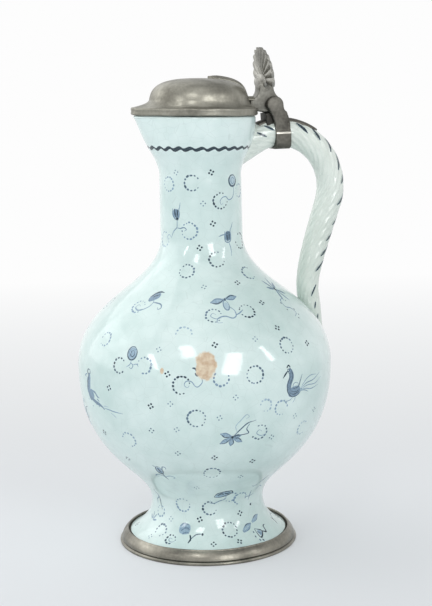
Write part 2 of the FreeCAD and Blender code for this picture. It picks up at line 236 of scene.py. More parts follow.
def close_tube(bm: BMesh) -> None:
    """Join a rolled grid at its seam, cap its ends and turn its faces outwards.

    Args:
        bm: grid to close.
    """
    bmesh.ops.remove_doubles(bm, verts=bm.verts[:], dist=SAME_POINT)
    bmesh.ops.holes_fill(bm, edges=[edge for edge in bm.edges if edge.is_boundary])
    turn_outwards(bm)


def thicken(bm: BMesh, move: Callable[[Vector], Vector]) -> None:
    """Give an open sheet a second face and walls.

    Args:
        bm: sheet to thicken.
        move: gives the second face's point for a point of the first.
    """
    grown = bmesh.ops.extrude_face_region(bm, geom=bm.faces[:])
    for vert in new_verts(grown):
        vert.co = move(vert.co.copy())
    turn_outwards(bm)


def turned(profile: Sequence[Row], steps: int) -> tuple[BMesh, bmesh.types.BMLayerItem]:
    """Turn a profile about the jug's axis.

    Args:
        profile: radius, height and share of the pouring lip of each point.
        steps: faces round the axis.

    Returns:
        The mesh and the layer that keeps each point's share of the lip.
    """
    bm = bmesh.new()
    lip = bm.verts.layers.float.new("lip")
    verts = []
    for radius, height, lip_share in profile:
        vert = bm.verts.new((radius, 0, height))
        vert[lip] = lip_share
        verts.append(vert)
    edges = [bm.edges.new(pair) for pair in zip(verts, verts[1:])]
    about = {"cent": (0, 0, 0), "axis": (0, 0, 1), "angle": FULL_TURN}
    bmesh.ops.spin(bm, geom=verts + edges, steps=steps, use_merge=True, **about)
    bmesh.ops.remove_doubles(bm, verts=bm.verts[:], dist=SAME_POINT)
    turn_outwards(bm)
    return bm, lip


def soften(bm: BMesh, edges: list[bmesh.types.BMEdge], radius: float, segments: int) -> None:
    """Round some edges of a mesh."""
    settings = {"profile": 0.5, "affect": "EDGES", "material": -1, "clamp_overlap": True}
    bmesh.ops.bevel(bm, geom=edges, offset=radius, segments=segments, **settings)


def slab(outline: Sequence[Point], near: float, far: float, rounding: float) -> BMesh:
    """Plate with rounded edges, cut to an outline in the XZ plane.

    Args:
        outline: corners of the outline.
        near: lower end along Y.
        far: upper end along Y.
        rounding: radius of its edges.

    Returns:
        The plate.
    """
    bm = bmesh.new()
    face = bm.faces.new([bm.verts.new((x, near, z)) for x, z in outline])
    grown = bmesh.ops.extrude_face_region(bm, geom=[face])
    bmesh.ops.translate(bm, verts=new_verts(grown), vec=(0, far - near, 0))
    turn_outwards(bm)
    rims = [edge for edge in bm.edges if abs(edge.verts[0].co.y - edge.verts[1].co.y) < rounding]
    soften(bm, rims, rounding, segments=4)
    return bm


def merge(target: BMesh, source: BMesh) -> None:
    """Move a small mesh into a larger one.

    Args:
        target: the larger mesh.
        source: the small mesh, which is freed.
    """
    mesh = bpy.data.meshes.new("merge")
    source.to_mesh(mesh)
    source.free()
    target.from_mesh(mesh)
    bpy.data.meshes.remove(mesh)


def connect(tree: NodeTree, node: bpy.types.Node, inputs: dict) -> None:
    """Feed a node with values and links.

    Args:
        tree: tree of the node.
        node: the node.
        inputs: values or output sockets, by input name or number.
    """
    for socket, value in inputs.items():
        if isinstance(value, Socket):
            tree.links.new(value, node.inputs[socket])
        else:
            node.inputs[socket].default_value = value


def add_node(tree: NodeTree, kind: str, inputs: dict | None = None, **settings) -> bpy.types.Node:
    """Add a node with its settings and links.

    Args:
        tree: node tree of a finish or the world.
        kind: node type without its ShaderNode prefix.
        inputs: values or output sockets, by input name or number.
        settings: properties of the node.

    Returns:
        The new node.
    """
    node = tree.nodes.new("ShaderNode" + kind)
    for name, value in settings.items():
        setattr(node, name, value)
    connect(tree, node, inputs or {})
    return node


def per_metre(size_mm: float) -> float:
    """Texture scale, in cells per metre, of a pattern of a real size."""
    return 1 / (size_mm * MM)


def clouds(tree: NodeTree, coords: Socket, size_mm: float, detail: float) -> Socket:
    """Cloudy pattern with patches of a real size."""
    inputs = {"Vector": coords, "Scale": per_metre(size_mm), "Detail": detail}
    return add_node(tree, "TexNoise", inputs).outputs["Fac"]


def combined(tree: NodeTree, operation: str, *values: Socket | float) -> Socket:
    """Outcome of a sum on sockets or values."""
    return add_node(tree, "Math", dict(enumerate(values)), operation=operation).outputs[0]


def respan(
    tree: NodeTree,
    value: Socket,
    source: Sequence[float],
    target: Sequence[Socket | float] = (0.0, 1.0),
    curve: str = "LINEAR",
) -> Socket:
    """Value carried from one span to another and held at its ends."""
    inputs = dict(enumerate((value, *source, *target)))
    return add_node(tree, "MapRange", inputs, interpolation_type=curve).outputs[0]


def blended(tree: NodeTree, share: Socket, first: Socket | Sequence, second: Socket | Sequence) -> Socket:
    """Colour at a share of the way from a first to a second."""
    return add_node(tree, "Mix", {0: share, 6: first, 7: second}, data_type="RGBA").outputs[2]


def new_finish(name: str) -> tuple[Material, NodeTree, Socket]:
    """Start a finish.

    Args:
        name: name of the finish.

    Returns:
        The material, its tree and its Object coordinates.
    """
    material = bpy.data.materials.new(name)
    material.use_nodes = True
    tree = material.node_tree
    return material, tree, add_node(tree, "TexCoord").outputs["Object"]


def surface(tree: NodeTree, inputs: dict) -> None:
    """Feed the surface of a finish with values and links by the names of its inputs."""
    connect(tree, tree.nodes["Principled BSDF"], inputs)


@dataclass(frozen=True)
class Chip:
    """Place where the glaze has flaked off, by its turn to the right of the jug's front, in millimetres."""

    turn_deg: float
    height: float
    half_width: float
    half_height: float


# The large chip on the belly and a small one beside it.
CHIPS = (Chip(0.5, 125.0, 5.8, 7.7), Chip(-18.5, 121.8, 1.1, 1.7))


@dataclass(frozen=True)
class TinGlaze:
    """Glossy tin glaze over earthenware, brushed with cobalt before its firing.

    The glaze gives the eye a wet, slightly wavy sheen on a cool blue-white that is thicker and greener in
    patches, with fine grey crazing. Cobalt sinks into it, dark where the brush was full and pale where it
    was thin. A chip shows the warm, matt biscuit under it.
    """

    name: str = "tin_glaze_with_cobalt"
    pale: str = "#d6e6e4"
    thick: str = "#bdd3d0"
    crazed: str = "#a3b5b2"
    wash: str = "#88a6be"
    ink: str = "#182e39"
    biscuit: str = "#bba186"
    biscuit_pale: str = "#d6c9b1"
    cloud_mm: float = 46.0
    mottle_mm: float = 9.0
    mottle_share: float = 0.45
    depth_span: Point = (0.5, 0.95)
    craze_mm: float = 6.5
    craze_line_share: float = 0.018
    craze_strength: float = 0.28
    peel_mm: float = 5.0
    peel_depth_mm: float = 0.1
    peel_strength: float = 0.6
    brush_mm: float = 0.9
    brush_span: Point = (0.25, 0.75)
    brush_loads: Point = (0.75, 1.15)
    wash_span: Point = (0.02, 0.42)
    ink_span: Point = (0.3, 0.86)
    lump_mm: float = 3.2
    lump_span: Point = (0.35, 0.65)
    thin_from: float = 195.0
    thin_to: float = 250.0
    thin_share: float = 0.24
    chip_ragged_mm: float = 5.0
    chip_raggedness: float = 1.1
    chip_edge: Point = (1.66, 1.5)
    glaze_rough: float = 0.1
    biscuit_rough: float = 0.75
    ior: float = 1.65

    def chip_mask(self, tree: NodeTree, coords: Socket, chips: Sequence[tuple[Vector, Vector]]) -> Socket:
        """Mask of the bare patches.

        Args:
            tree: tree of the finish.
            coords: Object coordinates.
            chips: centre and half sizes of each patch, in metres.

        Returns:
            Socket that is 1 on bare biscuit.
        """
        ragged = clouds(tree, coords, self.chip_ragged_mm, detail=4.0)
        total = 0.0
        for centre, half in chips:
            off = add_node(tree, "VectorMath", {0: coords, 1: centre}, operation="SUBTRACT").outputs[0]
            scaled = add_node(tree, "VectorMath", {0: off, 1: half}, operation="DIVIDE").outputs[0]
            reach = add_node(tree, "VectorMath", {0: scaled}, operation="LENGTH").outputs["Value"]
            rough = combined(tree, "MULTIPLY_ADD", ragged, self.chip_raggedness, reach)
            total = combined(tree, "MAXIMUM", total, respan(tree, rough, self.chip_edge))
        return total

    def build(self, chips: Sequence[tuple[Vector, Vector]]) -> Material:
        """Make the finish.

        Args:
            chips: centre and half sizes of each bare patch, in metres.

        Returns:
            The material.
        """
        material, tree, coords = new_finish(self.name)
        cloud = clouds(tree, coords, self.cloud_mm, detail=3.0)
        mottle = clouds(tree, coords, self.mottle_mm, detail=5.0)
        blend = combined(tree, "MULTIPLY_ADD", mottle, self.mottle_share, cloud)
        height = add_node(tree, "SeparateXYZ", {0: coords}).outputs["Z"]
        thinner = respan(tree, height, (self.thin_from * MM, self.thin_to * MM), (0.0, self.thin_share))
        depth = respan(tree, combined(tree, "SUBTRACT", blend, thinner), self.depth_span)
        glaze = blended(tree, depth, linear(self.pale), linear(self.thick))
        cells = {"Vector": coords, "Scale": per_metre(self.craze_mm)}
        cracks = add_node(tree, "TexVoronoi", cells, feature="DISTANCE_TO_EDGE").outputs["Distance"]
        craze = respan(tree, cracks, (0.0, self.craze_line_share), (self.craze_strength, 0.0))
        crazed = blended(tree, craze, glaze, linear(self.crazed))
        cobalt = add_node(tree, "Attribute", attribute_name="cobalt").outputs["Fac"]
        grain = clouds(tree, coords, self.brush_mm, detail=2.0)
        paint = combined(tree, "MULTIPLY", cobalt, respan(tree, grain, self.brush_span, self.brush_loads))
        washed = blended(tree, respan(tree, paint, self.wash_span), crazed, linear(self.wash))
        inked = blended(tree, respan(tree, paint, self.ink_span), washed, linear(self.ink))
        bare = self.chip_mask(tree, coords, chips)
        worn = respan(tree, clouds(tree, coords, self.lump_mm, detail=3.0), self.lump_span)
        clay = blended(tree, worn, linear(self.biscuit), linear(self.biscuit_pale))
        peel = clouds(tree, coords, self.peel_mm, detail=1.0)
        pitted = combined(tree, "MULTIPLY_ADD", bare, grain, peel)
        relief = {"Height": pitted, "Distance": self.peel_depth_mm * MM, "Strength": self.peel_strength}
        looks = {
            "Base Color": blended(tree, bare, inked, clay),
            "Roughness": respan(tree, bare, (0.0, 1.0), (self.glaze_rough, self.biscuit_rough)),
            "Normal": add_node(tree, "Bump", relief).outputs[0],
            "IOR": self.ior,
        }
        surface(tree, looks)
        return material


@dataclass(frozen=True)
class CastPewter:
    """Cast pewter, dulled by air and handling.

    It gives the eye a soft, warm grey metal: broad blurred reflections, darker tarnish in patches, a painted
    highlight over rubbed wear on an edge, with fine scratches and the waves of a hand-finished casting.
    """

    name: str = "cast_pewter"
    bright: str = "#a19f94"
    tarnish: str = "#75736a"
    # Lighter colour of a rubbed edge, which also stands in for a painted highlight along it.
    rubbed: str = "#b8b6ad"
    patch_mm: float = 14.0
    fleck_mm: float = 1.6
    fleck_share: float = 0.35
    age_span: Point = (0.45, 0.9)
    scratch_mm: float = 0.5
    scratch_stretch: float = 9.0
    scratch_turn: tuple[float, float, float] = (0.5, 0.3, 0.2)
    scratch_share: float = 0.12
    wave_mm: float = 7.0
    wave_depth_mm: float = 0.1
    wave_strength: float = 0.5
    smooth: float = 0.32
    dull: float = 0.48
    rubbed_rough: float = 0.34

    def build(self) -> Material:
        """Make the finish.

        Returns:
            The material.
        """
        material, tree, coords = new_finish(self.name)
        patch = clouds(tree, coords, self.patch_mm, detail=6.0)
        fleck = clouds(tree, coords, self.fleck_mm, detail=3.0)
        age = respan(tree, combined(tree, "MULTIPLY_ADD", fleck, self.fleck_share, patch), self.age_span)
        colour = blended(tree, age, linear(self.bright), linear(self.tarnish))
        rough = respan(tree, age, (0.0, 1.0), (self.smooth, self.dull))
        stretch = (1.0, 1.0, self.scratch_stretch)
        lay = {"Vector": coords, "Rotation": self.scratch_turn, "Scale": stretch}
        drawn = add_node(tree, "Mapping", lay).outputs[0]
        scratch = clouds(tree, drawn, self.scratch_mm * self.scratch_stretch, detail=2.0)
        wave = clouds(tree, coords, self.wave_mm, detail=2.0)
        height = combined(tree, "MULTIPLY_ADD", scratch, self.scratch_share, wave)
        relief = {"Height": height, "Distance": self.wave_depth_mm * MM, "Strength": self.wave_strength}
        # Where a piece marks an edge, the colour lightens: a painted highlight over rubbed wear.
        wear = add_node(tree, "Attribute", attribute_name="wear").outputs["Fac"]
        looks = {
            "Base Color": blended(tree, wear, colour, linear(self.rubbed)),
            "Roughness": respan(tree, wear, (0.0, 1.0), (rough, self.rubbed_rough)),
            "Normal": add_node(tree, "Bump", relief).outputs[0],
            "Metallic": 1.0,
        }
        surface(tree, looks)
        return material


@dataclass(frozen=True)
class BeddingPutty:
    """Old lime putty, pressed in by hand: matt, grainy and dark as painted shade in the foot ring's gap."""

    name: str = "lime_putty"
    light: str = "#4c463c"
    dark: str = "#2f2b25"
    grain_mm: float = 0.8
    grain_depth_mm: float = 0.2
    rough: float = 0.85

    def build(self) -> Material:
        """Make the finish.

        Returns:
            The material.
        """
        material, tree, coords = new_finish(self.name)
        grain = clouds(tree, coords, self.grain_mm, detail=4.0)
        relief = {"Height": grain, "Distance": self.grain_depth_mm * MM}
        looks = {
            "Base Color": blended(tree, grain, linear(self.light), linear(self.dark)),
            "Normal": add_node(tree, "Bump", relief).outputs[0],
            "Roughness": self.rough,
        }
        surface(tree, looks)
        return material


# Warmer glaze, thin over the ridges of the handle, which gives the eye a creamier white than the body.
HANDLE_GLAZE = TinGlaze("warm_glaze_on_handle", "#dae2db", "#c3cec5")
# The foot ring's pewter, rubbed smooth on tables, which gives sharper reflections than the lid.
RING_PEWTER = CastPewter("rubbed_pewter", "#9a978c", "#6d6b63", smooth=0.27, dull=0.42)
# The knuckle's pewter, greyed by fingers.
LUG_PEWTER = CastPewter("handled_pewter", "#8f8e87", "#63625c", smooth=0.38, dull=0.55)
# The shell's pewter, made paler than the rest as painted light, and broad in its sheen.
SHELL_PEWTER_PAINTED_LIGHT = CastPewter("grey_pewter", "#b6b5ae", "#868580", smooth=0.42, dull=0.56)
# The pewter of band, ears and tongue, dark and blurred with tarnish.
MOUNT_PEWTER = CastPewter("tarnished_pewter", "#77756e", "#4c4a45", smooth=0.42, dull=0.6)
# The pewter between the posts, nearly black and matt: tarnish where no hand reaches, with painted shade.
WEB_PEWTER_PAINTED_SHADE = CastPewter("blackened_pewter", "#4b4a46", "#33322f", smooth=0.5, dull=0.65)


# Turns between faces, in degrees, over which an edge stays crisp: on fine castings, strips and lathed pieces.
FINE, STRIP, LATHED = 35.0, 45.0, 50.0


def link(made: bpy.types.Object) -> None:
    """Put an object in the scene."""
    bpy.context.scene.collection.objects.link(made)


def finish_piece(
    bm: BMesh,
    name: str,
    finish: Material,
    body: Body,
    slot: Slot,
    replaced: str | None = None,
    sharp_deg: float = 40.0,
) -> None:
    """Turn a mesh in millimetres to a piece that rides on a body.

    Args:
        bm: mesh, which is freed.
        name: name of the piece.
        finish: its material.
        body: body that carries it.
        slot: finish slot of the record; not used.
        replaced: CAD node that it stands for.
        sharp_deg: edges that turn more than this stay crisp.
    """
    bmesh.ops.scale(bm, vec=(MM, MM, MM), verts=bm.verts[:])
    mesh = bpy.data.meshes.new(name)
    bm.to_mesh(mesh)
    bm.free()
    mesh.shade_smooth()
    mesh.set_sharp_from_angle(angle=radians(sharp_deg))
    mesh.materials.append(finish)
    piece = bpy.data.objects.new(name, mesh)
    link(piece)
    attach(piece, body.value)
    if replaced:
        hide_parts(replaced)
    log.info("%s: %d faces, on %s", name, len(mesh.polygons), body.value)


@dataclass
class GlazedBody:
    """Thrown body of the jug: foot, stem, belly, neck and lipped mouth."""

    foot_radius: float = 48.0
    foot_base: float = 1.6
    foot_top: float = 7.5
    recess_radius: float = 37.0
    recess_roof_radius: float = 34.0
    recess_roof: float = 8.1
    stem_radius: float = 34.4
    stem_height: float = 27.0
    flare_pull: float = 14.9
    belly_radius: float = 76.8
    belly_height: float = 112.0
    bowl_low_pull: float = 49.1
    bowl_high_pull: float = 52.5
    shoulder_low_pull: float = 154.1
    shoulder_high_pull: float = 158.8
    neck_radius: float = 24.6
    neck_base: float = 190.0
    mouth_base: float = 222.0
    mouth_radius: float = 33.8
    rim_height: float = 261.4
    rim_tilt_deg: float = 1.5
    rim_round: float = 1.3
    wall_belly: float = 5.0
    wall_neck: float = 4.6
    wall_mouth: float = 4.0
    inside_floor: float = 24.0
    inside_neck: float = 186.1
    lip_reach: float = 6.4
    lip_spread_deg: float = 21.0
    pinch_depth: float = 2.0
    pinch_place_deg: float = 45.0
    pinch_spread_deg: float = 17.0
    wobble: float = 0.22
    wobble_start: Point = (12.0, 40.0)
    wobble_end: Point = (200.0, 230.0)
    sway_height: float = 60.0
    ripple_height: float = 37.0
    ripple_share: float = 0.6
    tilt_below: float = 10.0
    floor_side_share: float = 0.48
    floor_flat_share: float = 0.28
    front_deg: float = -107.0
    mouth_shares: tuple[Row, ...] = (
        (0.0, 0.0, 0.0), (0.17, 0.01, 0.0), (0.36, 0.27, 0.05), (0.52, 0.60, 0.18), (0.68, 0.85, 0.34),
        (0.84, 0.97, 0.60), (1.0, 1.0, 1.0),
    )
    faces_round: int = 224
    mouth_steps: int = 34
    inner_mouth_steps: int = 24

    def __post_init__(self) -> None:
        """Work out the outer profile by its running length."""
        self.outer = self.outer_rows()
        self.runs = [0.0]
        for first, second in zip(self.outer, self.outer[1:]):
            self.runs.append(self.runs[-1] + dist(first[:2], second[:2]))
        self.heights = [row[1] for row in self.outer]

    def lip_growth(self, angle: float) -> float:
        """How far the mouth stands out from its circle.

        Args:
            angle: angle about the axis, in radians.

        Returns:
            The growth, which is less than 0 where the sides are pinched.
        """
        off_lip = abs(180 - degrees(angle) % 360)
        if off_lip >= 90:
            return 0.0
        lip = self.lip_reach * exp(-((off_lip / self.lip_spread_deg) ** 2))
        return lip - self.pinch_depth * exp(
            -(((off_lip - self.pinch_place_deg) / self.pinch_spread_deg) ** 2)
        )

    def mouth_row(self, share: float, inset: float) -> Row:
        """One row of the mouth's profile.

        Args:
            share: share of the mouth's height.
            inset: depth behind its outer face.

        Returns:
            Radius, height and share of the lip.
        """
        radius_share, lip_share = through(self.mouth_shares, share)
        radius = between(self.neck_radius, self.mouth_radius, radius_share)
        return radius - inset, between(self.mouth_base, self.rim_height, share), max(lip_share, 0.0)

    def shoulder_poles(self) -> tuple[Point, ...]:
        """Poles of the shoulder's profile, from the belly up to the neck."""
        pulls = (self.belly_radius, self.shoulder_low_pull), (self.neck_radius, self.shoulder_high_pull)
        return (self.belly_radius, self.belly_height), *pulls, (self.neck_radius, self.neck_base)

    def outer_rows(self) -> list[Row]:
        """Outer profile.

        Returns:
            Rows from the top of the foot to the rim.
        """
        points = [(self.foot_radius, self.foot_top)]
        stem = (self.stem_radius, self.stem_height)
        points += bezier_points((points[0], (self.stem_radius, self.flare_pull), stem), steps=16)
        pulls = (self.stem_radius, self.bowl_low_pull), (self.belly_radius, self.bowl_high_pull)
        shoulder = self.shoulder_poles()
        points += bezier_points((stem, *pulls, shoulder[0]), steps=60)
        points += bezier_points(shoulder, steps=60)
        points += bezier_points((shoulder[-1], (self.neck_radius, self.mouth_base)), steps=16)
        rows = [(*point, 0.0) for point in points]
        steps = self.mouth_steps
        return rows + [self.mouth_row((index + 1) / steps, 0.0) for index in range(steps)]

    def inner_rows(self) -> list[Row]:
        """Inner profile.

        Returns:
            Rows from the rim down to the floor on the axis.
        """
        rows = []
        for index in range(self.inner_mouth_steps):
            share = 1 - index / self.inner_mouth_steps
            rows.append(self.mouth_row(share, between(self.wall_neck, self.wall_mouth, share)))
        wide = self.belly_radius - self.wall_belly
        narrow = self.neck_radius - self.wall_neck
        neck = (narrow, self.inside_neck)
        belly = (wide, self.belly_height)
        drop = self.neck_base - self.inside_neck
        pulls = (narrow, self.shoulder_high_pull - drop), (wide, self.shoulder_low_pull - drop)
        side = (wide, between(self.inside_floor, self.belly_height, self.floor_side_share))
        flat = (wide * self.floor_flat_share, self.inside_floor)
        points = [(narrow, self.mouth_base)]
        points += bezier_points((points[0], neck), steps=10)
        points += bezier_points((neck, *pulls, belly), steps=30)
        points += bezier_points((belly, side, flat, (0, self.inside_floor)), steps=30)
        return rows + [(*point, 0.0) for point in points]

    def settle(self, radius: float, angle: float, height: float, lip_share: float) -> Vector:
        """Point of the thrown body, with its lip, its tilted rim and the throwing's slight wobble.

        Args:
            radius: radius of the profile.
            angle: angle about the axis, in radians.
            height: height of the profile.
            lip_share: share of the pouring lip.

        Returns:
            The point.
        """
        hand = eased(*self.wobble_start, height) * (1 - eased(*self.wobble_end, height)) * self.wobble
        sway = sin(2 * angle + height / self.sway_height)
        sway += self.ripple_share * sin(3 * angle - height / self.ripple_height)
        radius += lip_share * self.lip_growth(angle)
        radius += hand * sway
        x = radius * cos(angle)
        tilt = eased(self.mouth_base - self.tilt_below, self.rim_height, height)
        tilt *= tan(radians(self.rim_tilt_deg))
        return Vector((x, radius * sin(angle), height - x * tilt))

    def run_at(self, height: float) -> float:
        """Running length of the outer profile.

        Args:
            height: height of the place.

        Returns:
            The length from the top of the foot.
        """
        index = min(max(bisect.bisect(self.heights, height), 1), len(self.outer) - 1)
        low, high = self.heights[index - 1], self.heights[index]
        return between(self.runs[index - 1], self.runs[index], (height - low) / (high - low))

    def spot(self, turn_deg: float, height: float, upright: bool = False) -> Wrap:
        """Wrapping of a flat motif on the body.

        Args:
            turn_deg: turn of the motif's middle to the right of the jug's front.
            height: its height.
            upright: measure the way up along the axis instead of along the surface.

        Returns:
            Function of the way to the right, the way up and the lift off the surface, all in millimetres.
        """
        middle = self.run_at(height)
        girth = self.outer[bisect.bisect(self.heights, height) - 1][0]

        def wrap(across: float, up: float, lift: float) -> Vector:
            """Point of the body at a way right, up and off the surface."""
            run = self.run_at(height + up) if upright else middle + up
            run = min(max(run, 0.0), self.runs[-1])
            place = min(max(bisect.bisect(self.runs, run), 1), len(self.runs) - 1)
            first, second = self.outer[place - 1], self.outer[place]
            span = self.runs[place] - self.runs[place - 1]
            share = (run - self.runs[place - 1]) / span
            radius, level, lip_share = (between(a, b, share) for a, b in zip(first, second))
            angle = radians(turn_deg + self.front_deg) + across / girth
            radius += lift * (second[1] - first[1]) / span
            level += lift * (first[0] - second[0]) / span
            return self.settle(radius, angle, level, lip_share)

        return wrap

    def build(self, finish: Material) -> None:
        """Build the body and dress it.

        Args:
            finish: the glaze.
        """
        foot = [
            (0.0, self.recess_roof),
            (self.recess_roof_radius, self.recess_roof),
            (self.recess_radius, self.foot_base),
            (self.foot_radius, self.foot_base),
        ]
        outside = self.outer[:-1]
        inside = self.inner_rows()[1:]
        outer_rim = self.outer[-1][0]
        inner_rim = outer_rim - self.wall_mouth
        low = self.rim_height - self.rim_round
        rim = arc_points((outer_rim - self.rim_round, low), self.rim_round, 0, 90, steps=4)
        rim += arc_points((inner_rim + self.rim_round, low), self.rim_round, 90, 180, steps=4)
        profile = [(*point, 0.0) for point in foot] + outside + [(*point, 1.0) for point in rim] + inside
        bm, lip = turned(profile, self.faces_round)
        for vert in bm.verts:
            radius = hypot(vert.co.x, vert.co.y)
            vert.co = self.settle(radius, atan2(vert.co.y, vert.co.x), vert.co.z, vert[lip])
        bm.verts.layers.float.remove(lip)
        finish_piece(bm, "glazed_body", finish, Body.JUG, Slot.TIN_GLAZE, "jug_body")


@dataclass
class RopeHandle:
    """Pulled handle, twisted like a rope, from the collar of the mouth down to a tail on the belly."""

    jug: GlazedBody
    finish: Material
    radius: float = 8.2
    arch_x: float = 50.2
    arch_z: float = 216.0
    arch_radius: float = 33.3
    arch_start_deg: float = 113.0
    arch_end_deg: float = -19.0
    root_length: float = 20.0
    leg_pull: float = 0.73
    tail_pull: float = 0.43
    tail_share: float = 0.055
    tail_proud: float = 0.6
    tail_lean: float = 4.6
    root_sink: float = 1.6
    seat_step: float = 0.4
    seat_steps: int = 60
    flutes: int = 16
    lay_length: float = 124.0
    flute_depth: float = 0.42
    flute_level: float = 0.72
    smooth_from: float = 45.0
    smooth_to: float = 8.0
    nudge: float = 0.001
    root_shares: tuple[Row, ...] = ((0.0, 1.32, 1.10), (0.5, 1.16, 1.05), (1.0, 1.0, 1.0))
    leg_shares: tuple[Row, ...] = (
        (0.0, 0.98, 0.98), (0.1, 0.95, 0.95), (0.2, 0.92, 0.92), (0.3, 0.88, 0.90), (0.4, 0.84, 0.89),
        (0.5, 0.82, 0.90), (0.6, 0.80, 0.94), (0.7, 0.74, 0.97), (0.8, 0.58, 0.85), (0.9, 0.36, 0.62),
        (1.0, 0.16, 0.34),
    )
    columns: int = 112
    rows: int = 170
    root_steps: int = 20
    arch_steps: int = 60
    leg_steps: int = 90

    def __post_init__(self) -> None:
        """Work out the path from the collar to the tail on the jug."""
        start = self.arch(self.arch_start_deg)
        heading = self.arch_heading(self.arch_start_deg)
        self.samples = []
        for index in range(self.root_steps + 1):
            share = index / self.root_steps
            thick, wide = through(self.root_shares, share)
            self.samples.append((start - heading * self.root_length * (1 - share), heading, thick, wide))
        for index in range(self.arch_steps):
            turn = between(self.arch_start_deg, self.arch_end_deg, (index + 1) / self.arch_steps)
            self.samples.append((self.arch(turn), self.arch_heading(turn), 1.0, 1.0))
        poles = self.jug.shoulder_poles()
        low, high = (bezier(poles, self.tail_share + step) for step in (-self.nudge, self.nudge))
        along = Vector((low[0] - high[0], 0, low[1] - high[1])).normalized()
        end_r, end_z = bezier(poles, self.tail_share)
        end = Vector((end_r, 0, end_z)) + Vector((-along.z, 0, along.x)) * self.tail_proud
        leg = self.arch(self.arch_end_deg)
        reach = (end - leg).length
        low_pull = end - along * reach * self.tail_pull - Vector((self.tail_lean, 0, 0))
        high_pull = leg + self.arch_heading(self.arch_end_deg) * reach * self.leg_pull
        path = [(point.x, point.z) for point in (leg, high_pull, low_pull, end)]
        for index in range(self.leg_steps):
            share = (index + 1) / self.leg_steps
            x, z = bezier(path, share)
            ahead = bezier(path, share + self.nudge)
            thick, wide = through(self.leg_shares, share)
            tangent = Vector((ahead[0] - x, 0, ahead[1] - z)).normalized()
            self.samples.append((Vector((x, 0, z)), tangent, thick, wide))
        self.runs = [0.0]
        for first, second in zip(self.samples, self.samples[1:]):
            self.runs.append(self.runs[-1] + (second[0] - first[0]).length)
        self.root_end = self.runs[self.root_steps]

    def arch(self, angle_deg: float) -> Vector:
        """Point on the arch's middle line, at an angle up from the way to the handle."""
        x, z = beside((self.arch_x, self.arch_z), polar(self.arch_radius, angle_deg))
        return Vector((x, 0, z))

    def arch_heading(self, angle_deg: float) -> Vector:
        """Direction of the arch's middle line, from the mouth towards the leg."""
        angle = radians(angle_deg)
        return Vector((sin(angle), 0, -cos(angle)))

    def skin(self, run: float, angle: float, lift: float, fluted: bool = True) -> Vector:
        """Point of the twisted skin.

        Args:
            run: running length from the start of the path.
            angle: angle from the handle's back towards its near side, in radians.
            lift: height off the skin.
            fluted: follow the flutes, instead of the smooth round that they are pressed into.

        Returns:
            The point.
        """
        place = min(max(bisect.bisect(self.runs, run), 1), len(self.runs) - 1)
        share = (run - self.runs[place - 1]) / (self.runs[place] - self.runs[place - 1])
        first, second = self.samples[place - 1], self.samples[place]
        centre, tangent = (first[index].lerp(second[index], share) for index in (0, 1))
        thick, wide = (between(first[index], second[index], share) for index in (2, 3))
        left = self.runs[-1] - run
        fade = eased(0, self.root_end, run) * eased(self.smooth_to, self.smooth_from, left)
        phase = self.flutes * (angle - FULL_TURN * run / self.lay_length) / 2
        relief = self.flute_depth * fade * (abs(cos(phase)) - self.flute_level) if fluted else 0.0
        grown = self.radius + relief + lift
        back = Vector((-tangent.z, 0, tangent.x)) * cos(angle) * grown * thick
        return centre + back - Vector((0, sin(angle) * grown * wide, 0))

    def seat(self, point: Vector, heading: Vector) -> Vector:
        """Move a point of the root along the handle until it lies just inside the mouth's wall.

        Args:
            point: the point.
            heading: way along the handle.

        Returns:
            The moved point.
        """
        for _ in range(self.seat_steps):
            height = min(max(point.z, self.jug.foot_top), self.jug.rim_height)
            wall = self.jug.spot(0, height)(0, 0, 0)
            if hypot(point.x, point.y) >= hypot(wall.x, wall.y) - self.root_sink:
                break
            point = point + heading * self.seat_step
        return point

    def build(self) -> None:
        """Build the handle and dress it."""
        heading = self.arch_heading(self.arch_start_deg)

        def place(around: float, along: float) -> Vector:
            """Point of the skin at a share of the way round and along, seated on the mouth at its root."""
            point = self.skin(along * self.runs[-1], around * FULL_TURN, 0.0)
            if along * self.runs[-1] < self.root_end:
                point = self.seat(point, heading)
            return point

        bm = mapped_grid(self.columns, self.rows, place)
        close_tube(bm)
        finish_piece(bm, "twisted_handle", self.finish, Body.JUG, Slot.TIN_GLAZE, "rope_handle")


